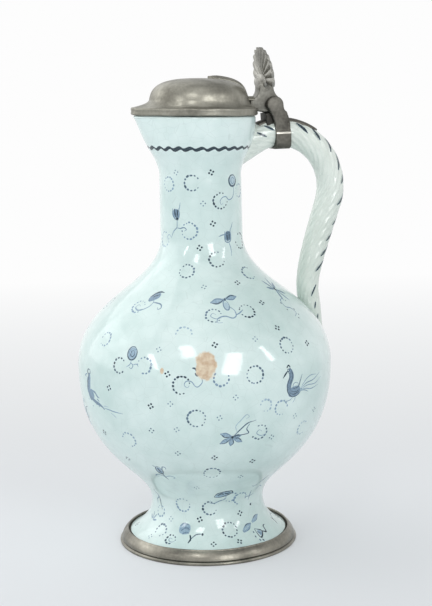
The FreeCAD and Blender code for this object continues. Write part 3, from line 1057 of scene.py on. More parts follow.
@dataclass
class FootRing:
    """Pewter ring round the foot: bead at the table, groove, bulging wall and a lip on the glaze."""

    finish: Material
    floor_inside: float = 40.0
    floor: float = 1.6
    bead: float = 54.7
    waist: float = 53.6
    bead_height: float = 2.2
    groove: float = 0.5
    lip_outside: float = 50.3
    lip_inside: float = 49.2
    lip_round: float = 0.5
    height: float = 8.6
    foot_top: float = 7.5
    wall_inside: float = 49.3
    bulge: float = 1.3
    groove_share: float = 0.4
    bead_turn_deg: float = 80.0
    lip_turns_deg: Point = (20.0, 160.0)
    dent: float = 0.12
    dent_span: Point = (1.0, 5.0)
    faces_round: int = 200

    def build(self) -> None:
        """Build the ring and dress it."""
        half = self.bead_height / 2
        points = [(self.floor_inside, self.floor), (self.floor_inside, 0.0), (self.waist - half, 0.0)]
        turn_deg = self.bead_turn_deg
        points += arc_points((self.bead - half, half), half, -turn_deg, turn_deg, steps=8)
        points += [(self.waist - self.groove, self.bead_height + self.groove * self.groove_share)]
        start = (self.waist, self.bead_height + self.groove)
        end = (self.lip_outside, self.height - self.lip_round)
        lean = Vector((end[1] - start[1], start[0] - end[0])).normalized() * self.bulge
        pull = ((start[0] + end[0]) / 2 + lean.x, (start[1] + end[1]) / 2 + lean.y)
        points += [start] + bezier_points((start, pull, end), steps=14)
        lip_centre = (self.lip_outside - self.lip_round, end[1])
        points += arc_points(lip_centre, self.lip_round, *self.lip_turns_deg, steps=5)
        points += [(self.lip_inside, self.foot_top), (self.wall_inside, self.foot_top)]
        points += [(self.wall_inside, self.floor), (self.floor_inside, self.floor)]
        bm, lip = turned([(*point, 0.0) for point in points], self.faces_round)
        bm.verts.layers.float.remove(lip)
        for vert in bm.verts:
            angle = atan2(vert.co.y, vert.co.x)
            worn = self.dent * eased(*self.dent_span, vert.co.z)
            vert.co.z += worn * sin(5 * angle) * sin(3 * angle + 1)
        finish_piece(bm, "cast_foot_ring", self.finish, Body.JUG, Slot.PEWTER, "foot_ring", LATHED)


@dataclass
class PewterLid:
    """Cast lid: band, sloping brim with the pouring lip, low dome, and the strap over it."""

    jug: GlazedBody
    finish: Material
    low: float = 261.7
    edge: float = 35.1
    band_height: float = 4.4
    band_round: float = 0.9
    band_wall: float = 2.8
    band_wave: float = 0.22
    bead: float = 0.45
    hollow: float = 0.25
    hollow_share: float = 0.45
    gutter: tuple[Point, ...] = ((0.5, -0.2), (0.9, 0.15))
    brim_plate: float = 1.7
    dome_radius: float = 29.6
    dome_foot: float = 270.6
    dome_height: float = 12.7
    dome_wall: float = 1.9
    brim_pull: Point = (30.6, 267.0)
    side_shares: Point = (0.965, 0.72)
    crown_share: float = 0.70
    strap_width: float = 11.0
    strap_start: float = 5.5
    strap_end: float = 33.4
    strap_thickness: float = 1.3
    strap_rib: float = 0.7
    strap_inset: float = 0.05
    strap_sink: float = 0.2
    strap_edge: float = 0.7
    strap_edge_power: int = 6
    rib_span: Point = (0.45, 0.75)
    faces_round: int = 200
    brim_steps: int = 14
    inside_steps: int = 30
    strap_faces: tuple[int, int] = (48, 20)
    halvings: int = 24

    def dome(self, growth: float) -> list[Point]:
        """Poles of the dome's profile.

        Args:
            growth: thickness that it is grown outwards by.

        Returns:
            Poles from the foot of the dome to its crown.
        """
        radius = self.dome_radius + growth
        height = self.dome_height + growth
        top = self.dome_foot + height
        return [
            (radius, self.dome_foot),
            (radius * self.side_shares[0], self.dome_foot + height * self.side_shares[1]),
            (radius * self.crown_share, top),
            (0.0, top),
        ]

    def tilted(self, point: Vector) -> Vector:
        """Tilt a point of a level lid with the mouth, which dips towards the handle."""
        pivot = Vector((0, 0, self.jug.rim_height))
        return pivot + Matrix.Rotation(radians(self.jug.rim_tilt_deg), 3, "Y") @ (point - pivot)

    def cover_rows(self) -> list[Row]:
        """Profile of the cover.

        Returns:
            Rows from the inside of its band over the dome and back.
        """
        shoulder = self.low + self.band_height
        r = self.band_round
        inner = self.edge - self.band_wall
        band = [(inner, self.low)]
        band += arc_points((self.edge - r, self.low + r), r, -90, 0, steps=4)
        band += [(self.edge - self.hollow, between(self.low, shoulder, self.hollow_share))]
        band += [(self.edge, shoulder - r - self.bead)]
        band += arc_points((self.edge - r, shoulder - r), r, -10, 90, steps=5)
        band += [(self.edge - r - inward, shoulder + up) for inward, up in self.gutter]
        rows = [(*point, 1.0) for point in band]
        start = rows[-1][:2]
        brim = bezier_points((start, self.brim_pull, (self.dome_radius, self.dome_foot)), self.brim_steps)
        rows += [(*point, 1 - eased(0, 1, (index + 1) / self.brim_steps)) for index, point in enumerate(brim)]
        rows += [(*point, 0.0) for point in bezier_points(self.dome(0), steps=40)]
        inside = self.dome(-self.dome_wall)
        shares = [1 - index / self.inside_steps for index in range(self.inside_steps + 1)]
        rows += [(*bezier(inside, share), 0.0) for share in shares]
        plate = shoulder - self.brim_plate
        rows += [(self.dome_radius - self.dome_wall, plate, 0.0), (inner, plate, 1.0), (inner, self.low, 1.0)]
        return rows

    def build_cover(self) -> None:
        """Build the cover and dress it."""
        bm, lip = turned(self.cover_rows(), self.faces_round)
        for vert in bm.verts:
            angle = atan2(vert.co.y, vert.co.x)
            radius = hypot(vert.co.x, vert.co.y) + vert[lip] * self.jug.lip_growth(angle)
            wave = self.band_wave * vert[lip] * sin(4 * angle + 0.8) * sin(7 * angle)
            level = Vector((radius * cos(angle), radius * sin(angle), vert.co.z + wave))
            vert.co = self.tilted(level)
        bm.verts.layers.float.remove(lip)
        finish_piece(bm, "domed_lid", self.finish, Body.LID, Slot.PEWTER, "lid_cover", LATHED)

    def dome_level(self, radius: float) -> float:
        """Height of the dome's outer face.

        Args:
            radius: radius of the place from the axis.

        Returns:
            The height.
        """
        poles = self.dome(0)
        low, high = 0.0, 1.0
        for _ in range(self.halvings):
            middle = (low + high) / 2
            if bezier(poles, middle)[0] > radius:
                low = middle
            else:
                high = middle
        return bezier(poles, low)[1] if radius < self.dome_radius else self.dome_foot

    def build_strap(self) -> None:
        """Build the strap, round-ended at the crown, with a raised rib along its middle."""
        half = self.strap_width / 2
        crown = self.strap_start + half

        def place(along: float, across: float) -> Vector:
            """Point of the upper face at a share of the length and the width."""
            x = between(self.strap_start + self.strap_inset, self.strap_end, along)
            off = min((crown - x) / half, 1.0)
            reach = half * sqrt(max(1 - off * off, 0.0)) if x < crown else half
            side = 2 * across - 1
            rise = self.strap_thickness * (1 - abs(side) ** self.strap_edge_power * self.strap_edge)
            rib = self.strap_rib * (1 - eased(*self.rib_span, abs(side)))
            rise += rib * eased(self.strap_start, crown, x)
            y = side * reach
            return Vector((x, y, self.dome_level(hypot(x, y)) + rise))

        bm = mapped_grid(*self.strap_faces, place)

        def under(point: Vector) -> Vector:
            """Point of the underside, sunk in the dome."""
            level = self.dome_level(hypot(point.x, point.y))
            return Vector((point.x, point.y, level - self.strap_sink))

        thicken(bm, under)
        for vert in bm.verts:
            vert.co = self.tilted(vert.co.copy())
        finish_piece(bm, "moulded_lid_strap", self.finish, Body.LID, Slot.PEWTER, "lid_strap", STRIP)


@dataclass
class ThumbRest:
    """Middle knuckle with its stem, and the scallop shell that the thumb presses."""

    lug_finish: Material
    shell_finish: Material
    lug_half: float = 4.4
    lug_radius: float = 5.2
    lug_rounding: float = 1.0
    web_end: float = 14.6
    web_top: float = 2.2
    web_low: float = 3.4
    stem_front: float = 8.7
    stem_back: float = 0.5
    stem_top: float = 10.4
    stem_tip: float = 16.0
    web_belly: Point = (-9.6, -4.4)
    lug_toe: float = 5.0
    lug_turns_deg: Point = (-90.0, 50.0)
    back_pull: Point = (-0.2, 6.6)
    tip_span: Point = (2.6, 5.6)
    front_pull: Point = (0.4, 4.6)
    web_crest: Point = (-13.4, 2.8)
    root_offset: float = -4.6
    root_height: float = 15.2
    shell_tall: float = 18.8
    shell_half: float = 11.8
    shell_thickness: float = 2.8
    shell_curl: float = 1.2
    shell_lean_deg: float = 5.5
    shell_askew_deg: float = 8.5
    shell_half_turn_deg: float = 108.0
    scallops: int = 12
    scallop_depth_share: float = 0.055
    rib_relief: float = 0.6
    rib_span: Point = (0.1, 0.45)
    rib_faces: int = 12
    shell_rows: int = 16
    shell_eye: float = 0.05
    shell_thinning: float = 0.4
    shell_back_share: float = 0.98
    boss_sizes: tuple[float, float, float] = (2.3, 5.6, 5.2)
    boss_drop: float = 2.2

    def build_lug(self) -> None:
        """Build the knuckle, the web to the lid and the stem as one flowing casting."""
        x, z = HINGE.x, HINGE.z
        top = z + self.stem_top
        outline = [(x - self.web_end, z + self.web_top), (x - self.web_end, z - self.web_low)]
        outline += [beside((x, z), self.web_belly), (x - self.lug_toe, z - self.lug_radius)]
        outline += arc_points((x, z), self.lug_radius, *self.lug_turns_deg, steps=12)
        pull = beside((x + self.stem_back, z), self.back_pull)
        outline += bezier_points((outline[-1], pull, (x + self.stem_back, top)), steps=5)
        outline += [(x - off, z + self.stem_tip) for off in self.tip_span] + [(x - self.stem_front, top)]
        pull = beside((x - self.stem_front, z), self.front_pull)
        outline += bezier_points((outline[-1], pull, beside((x, z), self.web_crest)), steps=7)
        bm = slab(outline, -self.lug_half, self.lug_half, self.lug_rounding)
        finish_piece(bm, "knuckle_and_stem", self.lug_finish, Body.LID, Slot.PEWTER, "hinge_lug")

    def build_shell(self) -> None:
        """Build the shell with ribs that fan out from a boss at its root, a little askew on the stem."""
        root = HINGE + Vector((self.root_offset, 0, self.root_height))

        def place(around: float, out: float) -> Vector:
            """Point of the ribbed front at a share of the way round and out."""
            turn = radians(between(-self.shell_half_turn_deg, self.shell_half_turn_deg, around))
            rib = abs(sin(pi * self.scallops * around))
            share = between(self.shell_eye, 1 - self.scallop_depth_share * (1 - rib), out)
            side = sin(turn) * share
            relief = self.rib_relief * (rib - 0.5) * eased(*self.rib_span, out)
            x = self.shell_curl * side * side - self.shell_thickness / 2 - relief
            return root + Vector((x, self.shell_half * side, self.shell_tall * cos(turn) * share))

        bm = mapped_grid(self.scallops * self.rib_faces, self.shell_rows, place)

        def back(point: Vector) -> Vector:
            """Point of the smooth back, behind a point of the front."""
            side = (point.y - root.y) / self.shell_half
            reach = hypot(side, (point.z - root.z) / self.shell_tall)
            thin = 0.5 - self.shell_thinning * reach * reach
            x = root.x + self.shell_curl * side * side + self.shell_thickness * thin
            z = between(root.z, point.z, self.shell_back_share)
            return Vector((x, point.y * self.shell_back_share, z))

        thicken(bm, back)
        boss = bmesh.new()
        seat = root + Vector((-self.shell_thickness / 2, 0, -self.boss_drop))
        shape = Matrix.Translation(seat) @ Matrix.Diagonal((*self.boss_sizes, 1.0))
        bmesh.ops.create_uvsphere(boss, u_segments=32, v_segments=20, radius=1.0, matrix=shape)
        merge(bm, boss)
        turn = Matrix.Rotation(radians(self.shell_askew_deg), 3, "Z")
        turn @= Matrix.Rotation(radians(-self.shell_lean_deg), 3, "Y")
        bmesh.ops.rotate(bm, verts=bm.verts[:], cent=root, matrix=turn)
        finish_piece(bm, "shell_thumb_rest", self.shell_finish, Body.LID, Slot.PEWTER, "thumb_rest", FINE)


@dataclass
class HingeMount:
    """What carries the lid on the handle: tongue, band, and the bracket with its two ears."""

    handle: RopeHandle
    finish: Material
    web_finish: Material
    band_front: float = 45.4
    band_back: float = 55.0
    band_top: float = 260.0
    band_bottom: float = 239.8
    band_half: float = 9.7
    band_bevel: float = 5.0
    band_ridge: float = 249.6
    ridge_in: float = 1.4
    ridge_up: float = 2.6
    band_corner: float = 4.0
    band_round: float = 0.7
    hole_gap: float = 0.1
    hole_margin: float = 0.5
    hole_faces: int = 24
    crisp_deg: float = 35.0
    ridge_share: float = 0.7
    ridge_round: float = 0.8
    wear_reach: float = 0.45
    ear_out: float = 8.45
    ear_in: float = 4.7
    ear_radius: float = 5.3
    ear_drop: float = 0.9
    slot_floor: float = 261.4
    web_reach: float = 5.4
    web_low: float = 250.0
    post_front_gap: float = 0.5
    post_back_gap: float = 1.2
    step_drop: float = 4.4
    step_rise: float = 1.0
    step_fall: float = 3.2
    post_sink: float = 0.8
    front_pull: Point = (-1.0, -3.0)
    cheek_drop: float = 0.6
    cheek_deg: float = 170.0
    step_pull: Point = (0.1, 1.8)
    step_in: float = 1.8
    heel_pull: Point = (-0.4, 0.7)
    ear_round: float = 0.9
    web_lean: float = 0.8
    web_heel: Point = (-0.4, 2.0)
    web_overlap: float = 0.8
    web_round: float = 0.3
    tongue_thickness: float = 1.2
    tongue_width: float = 8.0
    tongue_start: float = 35.8
    tongue_end_deg: float = 54.0
    tongue_round_from: float = 0.86
    tongue_tip_share: float = 0.02
    tongue_edge: float = 0.5
    tongue_edge_power: int = 8
    tongue_sink: float = 0.4
    tongue_faces: tuple[int, int] = (60, 14)

    def build_band(self) -> None:
        """Build the band: bevelled above, rounded below, open for the handle."""
        flat = self.band_half - self.band_bevel
        corner_in = self.band_half - self.band_corner
        corner_up = self.band_bottom + self.band_corner
        neck, neck_low = self.band_half - self.ridge_in, self.band_ridge + self.ridge_up
        ridge = (self.band_half, self.band_ridge)
        slope = (between(neck, ridge[0], self.ridge_share), between(neck_low, ridge[1], self.ridge_share))
        brow = [(neck, neck_low), slope]
        brow += bezier_points((slope, ridge, (ridge[0], ridge[1] - self.ridge_round)), steps=3)
        outer = [(flat, self.band_top), (-flat, self.band_top), (-neck, self.band_top - self.band_bevel)]
        outer += [(-y, z) for y, z in brow]
        outer += arc_points((-corner_in, corner_up), self.band_corner, 180, 270, steps=6)
        outer += arc_points((corner_in, corner_up), self.band_corner, 270, 360, steps=6)
        outer += brow[::-1] + [(neck, self.band_top - self.band_bevel)]
        centre = self.handle.arch_z + self.handle.arch_radius
        last_deg = 360 - 360 / self.hole_faces
        hole = arc_points((0.0, centre), self.handle.radius + self.hole_gap, 0, last_deg, self.hole_faces - 1)
        bm = bmesh.new()
        loops = []
        for points in (outer, hole):
            verts = [bm.verts.new((self.band_front, y, z)) for y, z in points]
            loops += [bm.edges.new(pair) for pair in zip(verts, verts[1:] + verts[:1])]
        bmesh.ops.bridge_loops(bm, edges=loops)
        grown = bmesh.ops.extrude_face_region(bm, geom=bm.faces[:])
        bmesh.ops.translate(bm, verts=new_verts(grown), vec=(self.band_back - self.band_front, 0, 0))
        turn_outwards(bm)
        crisp = [edge for edge in bm.edges if edge.calc_face_angle(0) > radians(self.crisp_deg)]
        outside = [edge for edge in crisp if all(self.off_hole(vert.co, centre) for vert in edge.verts)]
        soften(bm, outside, self.band_round, segments=3)
        # Mark the ridge's edge for a painted highlight over rubbed wear.
        wear = bm.verts.layers.float.new("wear")
        for vert in bm.verts:
            off_ridge = hypot(abs(vert.co.y) - self.band_half, vert.co.z - self.band_ridge)
            vert[wear] = 1.0 if off_ridge < self.wear_reach else 0.0
        finish_piece(bm, "handle_clasp_band", self.finish, Body.JUG, Slot.PEWTER, "handle_band", FINE)

    def off_hole(self, point: Vector, centre: float) -> bool:
        """Tell whether a point of the band lies away from its hole."""
        return hypot(point.y, point.z - centre) > self.handle.radius + self.hole_margin

    def build_bracket(self) -> None:
        """Build both ears on their posts."""
        x, z = HINGE.x, HINGE.z - self.ear_drop
        low = self.band_ridge + self.ridge_up - self.post_sink
        back = self.band_back - self.post_back_gap
        front = self.band_front + self.post_front_gap
        step = z - self.step_drop
        ear = [(front, low)]
        pull = beside((front, step), self.front_pull)
        ear += bezier_points((ear[-1], pull, (x - self.ear_radius, z - self.cheek_drop)), steps=8)
        ear += arc_points((x, z), self.ear_radius, self.cheek_deg, 0, steps=16)
        pull = beside((x + self.ear_radius, step), self.step_pull)
        ear += bezier_points((ear[-1], pull, (back - self.step_in, step + self.step_rise)), steps=4)
        pull = beside((back, step), self.heel_pull)
        ear += bezier_points((ear[-1], pull, (back, step - self.step_fall)), steps=4)
        ear += [(back, low)]
        bm = slab(ear, -self.ear_out, -self.ear_in, self.ear_round)
        merge(bm, slab(ear, self.ear_in, self.ear_out, self.ear_round))
        finish_piece(bm, "hinge_ears", self.finish, Body.JUG, Slot.PEWTER, "hinge_bracket", FINE)

    def build_web(self) -> None:
        """Build the web that joins the posts under the lug, in tarnished pewter darkened further as painted
        shade.
        """
        back = self.band_back - self.post_back_gap
        front = self.band_front + self.post_front_gap
        nose = front - self.web_reach
        lean = self.web_lean
        web = [(nose + lean, self.web_low), (nose, self.slot_floor), (back - lean, self.slot_floor)]
        web += [beside((back, self.web_low), self.web_heel)]
        half = self.ear_in + self.web_overlap
        bm = slab(web, -half, half, self.web_round)
        finish_piece(bm, "hinge_web", self.web_finish, Body.JUG, Slot.PEWTER, sharp_deg=FINE)

    def build_tongue(self) -> None:
        """Build the tongue along the handle's back, round at its end."""
        handle = self.handle
        outer = handle.arch_radius + handle.radius + self.tongue_thickness
        start_deg = degrees(acos((self.tongue_start - handle.arch_x) / outer))
        half = self.tongue_width / 2
        centre = Vector((handle.arch_x, 0, handle.arch_z))

        def point(along: float, across: float, rise: float) -> Vector:
            """Point over the handle's back at a share of the length and the width."""
            turn = between(start_deg, self.tongue_end_deg, along)
            ending = eased(self.tongue_round_from, 1.0, along)
            y = (2 * across - 1) * half * sqrt(max(1 - ending * ending, self.tongue_tip_share))
            radius = handle.arch_radius + sqrt(handle.radius**2 - y * y) + rise
            x, z = polar(radius, turn)
            return centre + Vector((x, y, z))

        def place(along: float, across: float) -> Vector:
            """Point of the upper face, which thins at its edges."""
            edge = abs(2 * across - 1) ** self.tongue_edge_power
            return point(along, across, self.tongue_thickness * (1 - self.tongue_edge * edge))

        bm = mapped_grid(*self.tongue_faces, place)

        def under(at: Vector) -> Vector:
            """Point of the underside, sunk in the handle."""
            flat = Vector((at.x - centre.x, 0, at.z - centre.z))
            radius = handle.arch_radius + sqrt(handle.radius**2 - at.y * at.y) - self.tongue_sink
            return centre + flat.normalized() * radius + Vector((0, at.y, 0))

        thicken(bm, under)
        finish_piece(bm, "handle_back_tongue", self.finish, Body.JUG, Slot.PEWTER, "handle_tongue", STRIP)


@dataclass(frozen=True)
class Stroke:
    """One pull of the brush through points to the right and up of a motif's middle, in millimetres."""

    points: tuple[Point, ...]
    width: float = 0.5
    load: Load = LINE


@dataclass(frozen=True)
class Wash:
    """Oval patch of thin cobalt."""

    at: Point
    wide: float
    tall: float
    load: Load = FAINT
    turn_deg: float = 0.0


@dataclass(frozen=True)
class Dab:
    """One touch of the brush's tip."""

    at: Point
    radius: float = 0.5
    load: Load = INK


Mark = Stroke | Wash | Dab


@dataclass(frozen=True)
class Ring:
    """Ring of dots, most often left open, heavier on one side, sometimes with a hooked line inside."""

    turn_deg: float
    height: float
    radius: float
    gap_at_deg: float
    gap_deg: float
    heavy_at_deg: float
    load: Load
    hooked: bool = False


@dataclass(frozen=True)
class Sprig:
    """Flower, leaf, scroll or bird, painted about one place on the jug."""

    turn_deg: float
    height: float
    marks: tuple[Mark, ...]


# Where the brush starts an oval, the pull of a petal, and a leaf's widest place and its two outlines.
OVAL_START_DEG = 70
PETAL_SHARES = (0.15, 0.5, 1.0)
LEAF_BELLY = 0.55
LEAF_OVER = 0.65
LEAF_UNDER = 0.55


def oval(wide: float, tall: float, width: float, load: Load, at: Point = (0.0, 0.0)) -> Stroke:
    """Brushed outline of an oval.

    Args:
        wide: half its width.
        tall: half its height.
        width: width of the line.
        load: cobalt in the brush.
        at: its middle.

    Returns:
        The stroke, which closes on itself.
    """
    points = arc_points((0.0, 0.0), 1.0, OVAL_START_DEG, OVAL_START_DEG + 360, steps=8)
    return Stroke(tuple((at[0] + wide * x, at[1] + tall * y) for x, y in points), width, load)


def petals(turns_deg: Iterable[float], length: float, width: float, load: Load) -> tuple[Stroke, ...]:
    """Short leaf strokes that spread from one place.

    Args:
        turns_deg: their directions.
        length: length of each.
        width: width of each.
        load: cobalt in the brush.

    Returns:
        The strokes.
    """
    strokes = []
    for turn_deg in turns_deg:
        way = Vector(polar(length, turn_deg))
        strokes.append(Stroke(tuple(tuple(way * share) for share in PETAL_SHARES), width, load))
    return tuple(strokes)


def leaf(base: Point, tip: Point, width: float) -> tuple[Stroke, ...]:
    """Leaf or petal: a thin wash between two outlines, the upper one darker.

    Args:
        base: its start.
        tip: its end.
        width: its width.

    Returns:
        The strokes.
    """
    way = Vector((tip[0] - base[0], tip[1] - base[1]))
    off = Vector((-way.y, way.x)).normalized() * width / 2
    middle = Vector(base) + way * LEAF_BELLY
    fill = Stroke((base, tuple(middle), tip), width, WASH)
    over = Stroke((base, tuple(middle + off), tip), LEAF_OVER, DARK)
    under = Stroke((base, tuple(middle - off), tip), LEAF_UNDER, BLUE)
    return fill, over, under


# Dotted rings, by their turn to the right of the jug's front and their height.
RINGS = (
    Ring(-50, 222, 4.2, 60, 20, 0, LINE), Ring(-12, 223, 4.5, 0, 75, 170, DARK),
    Ring(66, 217, 3.8, 180, 50, 0, LINE), Ring(28, 212, 4.6, 30, 80, 200, INK),
    Ring(-17, 195, 4.8, 100, 20, 0, BLUE), Ring(-63, 189, 4.4, 40, 60, 200, WASH),
    Ring(65, 187, 4.6, 150, 70, 0, INK), Ring(18, 178, 4.5, 25, 90, 190, INK),
    Ring(-17, 172, 4.4, 150, 40, 0, DARK), Ring(52, 169, 4.4, 0, 110, 170, DARK),
    Ring(-45, 153, 4.4, 0, 60, 200, LINE, True), Ring(6, 150, 4.7, -20, 70, 150, DARK, True),
    Ring(27, 151, 4.6, 150, 15, 300, INK), Ring(-54, 135, 4.2, 200, 60, 20, BLUE),
    Ring(-40, 122.5, 4.3, 0, 100, 180, INK), Ring(-27, 124, 4.5, 220, 90, 0, BLUE),
    Ring(-10, 141, 4.8, 270, 190, 90, WASH), Ring(41, 131.5, 4.6, 280, 30, 130, DARK),
    Ring(-10, 114, 5.0, 330, 90, 150, INK), Ring(7, 117.5, 4.3, 80, 130, 250, BLUE),
    Ring(22, 118, 4.9, 250, 15, 20, DARK), Ring(35, 96.5, 4.3, 330, 80, 140, LINE),
    Ring(27, 99.5, 3.6, 210, 90, 60, WASH), Ring(-4, 94.5, 5.1, 290, 35, 170, DARK),
    Ring(25, 83.5, 4.6, 160, 110, 300, DARK, True), Ring(-39, 78, 4.6, 220, 120, 60, LINE),
    Ring(52, 80, 4.4, 0, 120, 180, WASH), Ring(3, 57.5, 4.7, 330, 40, 100, DARK),
    Ring(-25, 31, 4.4, 30, 40, 200, LINE), Ring(2, 29.5, 4.2, 10, 70, 190, DARK),
    Ring(22, 36, 3.6, 120, 80, 0, LINE), Ring(33, 34, 4.2, 300, 100, 150, LINE),
    Ring(-55, 24, 3.4, 90, 60, 300, LINE), Ring(-46, 14, 4.0, 250, 80, 100, DARK),
    Ring(20, 16, 4.6, 260, 20, 170, INK), Ring(-32, 11, 3.2, 320, 80, 180, INK, True),

)

# Groups of four dots that fill the spaces, by turn and height: bold ones, then fainter ones.
BOLD_DOTS = (
    (15, 229), (16, 199), (-3, 185), (32, 165), (5, 135.5), (-16, 120), (-46, 108.5), (-24, 101), (41, 154),
    (55, 130), (4, 69), (25, 64), (-8, 22.5), (34, 24), (4, 10), (25, 10), (-48, 63), (-57, 78.5), (40, 141),
)
FAINT_DOTS = (
    (-35, 229), (3, 211), (1, 164), (-21, 133), (25, 137), (-15, 103), (13, 106), (59, 89.5), (6, 94.5),
    (-25, 86), (-13, 87.5), (-14, 72), (32, 79), (44, 89.5), (22, 52.5), (-8, 45), (-39, 21), (-53, 10),
)

# A crested bird in profile: wash, neck, breast, crest, eye, beak, feathers, wing, fanned tail and legs.
BIRD = (
    Wash((0.2, -0.2), 5.6, 3.5, LINE, 8),
    Stroke(((-3.6, 13.6), (-2.4, 12), (-2.2, 8.4), (-4, 4.4), (-4, 1.4), (-2, -1)), 3.6, BLUE),
    Stroke(((-3.2, 14.6), (-2, 12.6), (-1.2, 8.6), (-3, 4.6), (-2.6, 2)), 0.5, DARK),
    Stroke(((-4.6, 12.4), (-3.4, 9.6), (-5.2, 4.4), (-5.2, 0.6), (-2.8, -2.4), (1, -3.2), (4.6, -1.8),
            (6.2, 0.6)), 0.6, DARK),
    Stroke(((-5.2, 14.2), (-3.8, 15.6), (-2.4, 14.4)), 0.9, INK),
    oval(0.8, 0.8, 0.4, INK, (-4.2, 12.8)),
    Stroke(((-4.8, 12.4), (-6.8, 10.6), (-8.4, 8.8)), 0.9, INK),
    Stroke(((-3.6, -0.6), (0, -1.8), (4.4, -0.6)), 0.6, DARK),
    Stroke(((-2.4, 0.6), (1, -0.6), (4.6, 0.4)), 0.5, DARK),
    oval(2.3, 1.8, 0.5, BLUE, (1.2, 3.2)),
    Stroke(((-1.4, 2), (0.8, 1.6), (3.6, 2.4), (4.8, 5), (6.8, 9)), 0.6, DARK),
    Stroke(((5.2, 0.6), (9.4, 4.6), (14.6, 6.8), (21, 6.4)), 0.45),
    Stroke(((5.4, 0.4), (10.4, 3), (17.6, 3.8), (25.4, 6.8)), 0.5, BLUE),
    Stroke(((5.4, 0.2), (11.6, 1.6), (19.6, 1.2), (27, 3.8)), 0.45),
    Stroke(((5.2, -0.2), (9.4, 0), (15.6, -1.2), (23.6, -0.2)), 0.45),
    Stroke(((4.8, -0.6), (8.8, -0.8), (12.8, -2.4)), 0.45),
    Stroke(((-0.8, -3.2), (-3.2, -4.8), (-7.6, -5.2)), 0.4),
    Stroke(((1.2, -3.2), (0.4, -5.4), (-1.4, -7.2)), 0.4),
)
# A slimmer bird with a long trailing tail.
SLIM_BIRD = (
    Wash((-0.4, -0.8), 4.2, 3.8, LINE, 30),
    oval(1.9, 1.5, 0.9, DARK, (-2, 12.8)),
    Stroke(((-4.4, 11.2), (-7.6, 9.8), (-5.4, 9.2)), 0.7, BLUE),
    Stroke(((-1.6, 11.6), (-1.4, 9.8), (-2.6, 7.2), (-2.8, 4.6), (-3.4, 2), (-2.4, -0.4), (0, -2)), 4.4),
    Stroke(((-2.8, 11.4), (-2.8, 9), (-4, 6.6), (-4.4, 3), (-4, 0)), 1.0, DARK),
    Stroke(((-4.4, 1), (-1, -2.2), (3.8, -4.2), (8, -5.2), (11, -6.2), (13, -7.6)), 2.2, BLUE),
    Stroke(((1.8, 2.2), (4.6, 1.4), (7.2, -0.8), (9.2, -1.2)), 1.2, BLUE),
    Stroke(((6, -2.2), (7.4, -2.8), (8.8, -3.4)), 0.7, BLUE),
    Stroke(((12.4, -5.6), (14.8, -5.2), (17, -5.4)), 0.4, WASH),
    Stroke(((13, -6.6), (18, -7), (21.2, -7.4), (28.6, -7.8)), 0.6, LINE),
    Stroke(((18.6, -8.6), (21, -9.8), (23, -11.2)), 0.4, WASH),
    *(Dab(at, 0.45, BLUE) for at in ((-5, -4.4), (0, -7.6), (5, -5.8), (7.6, -6.6))),
)
BIRDS = (Sprig(42, 105, BIRD), Sprig(-60.5, 102, SLIM_BIRD))

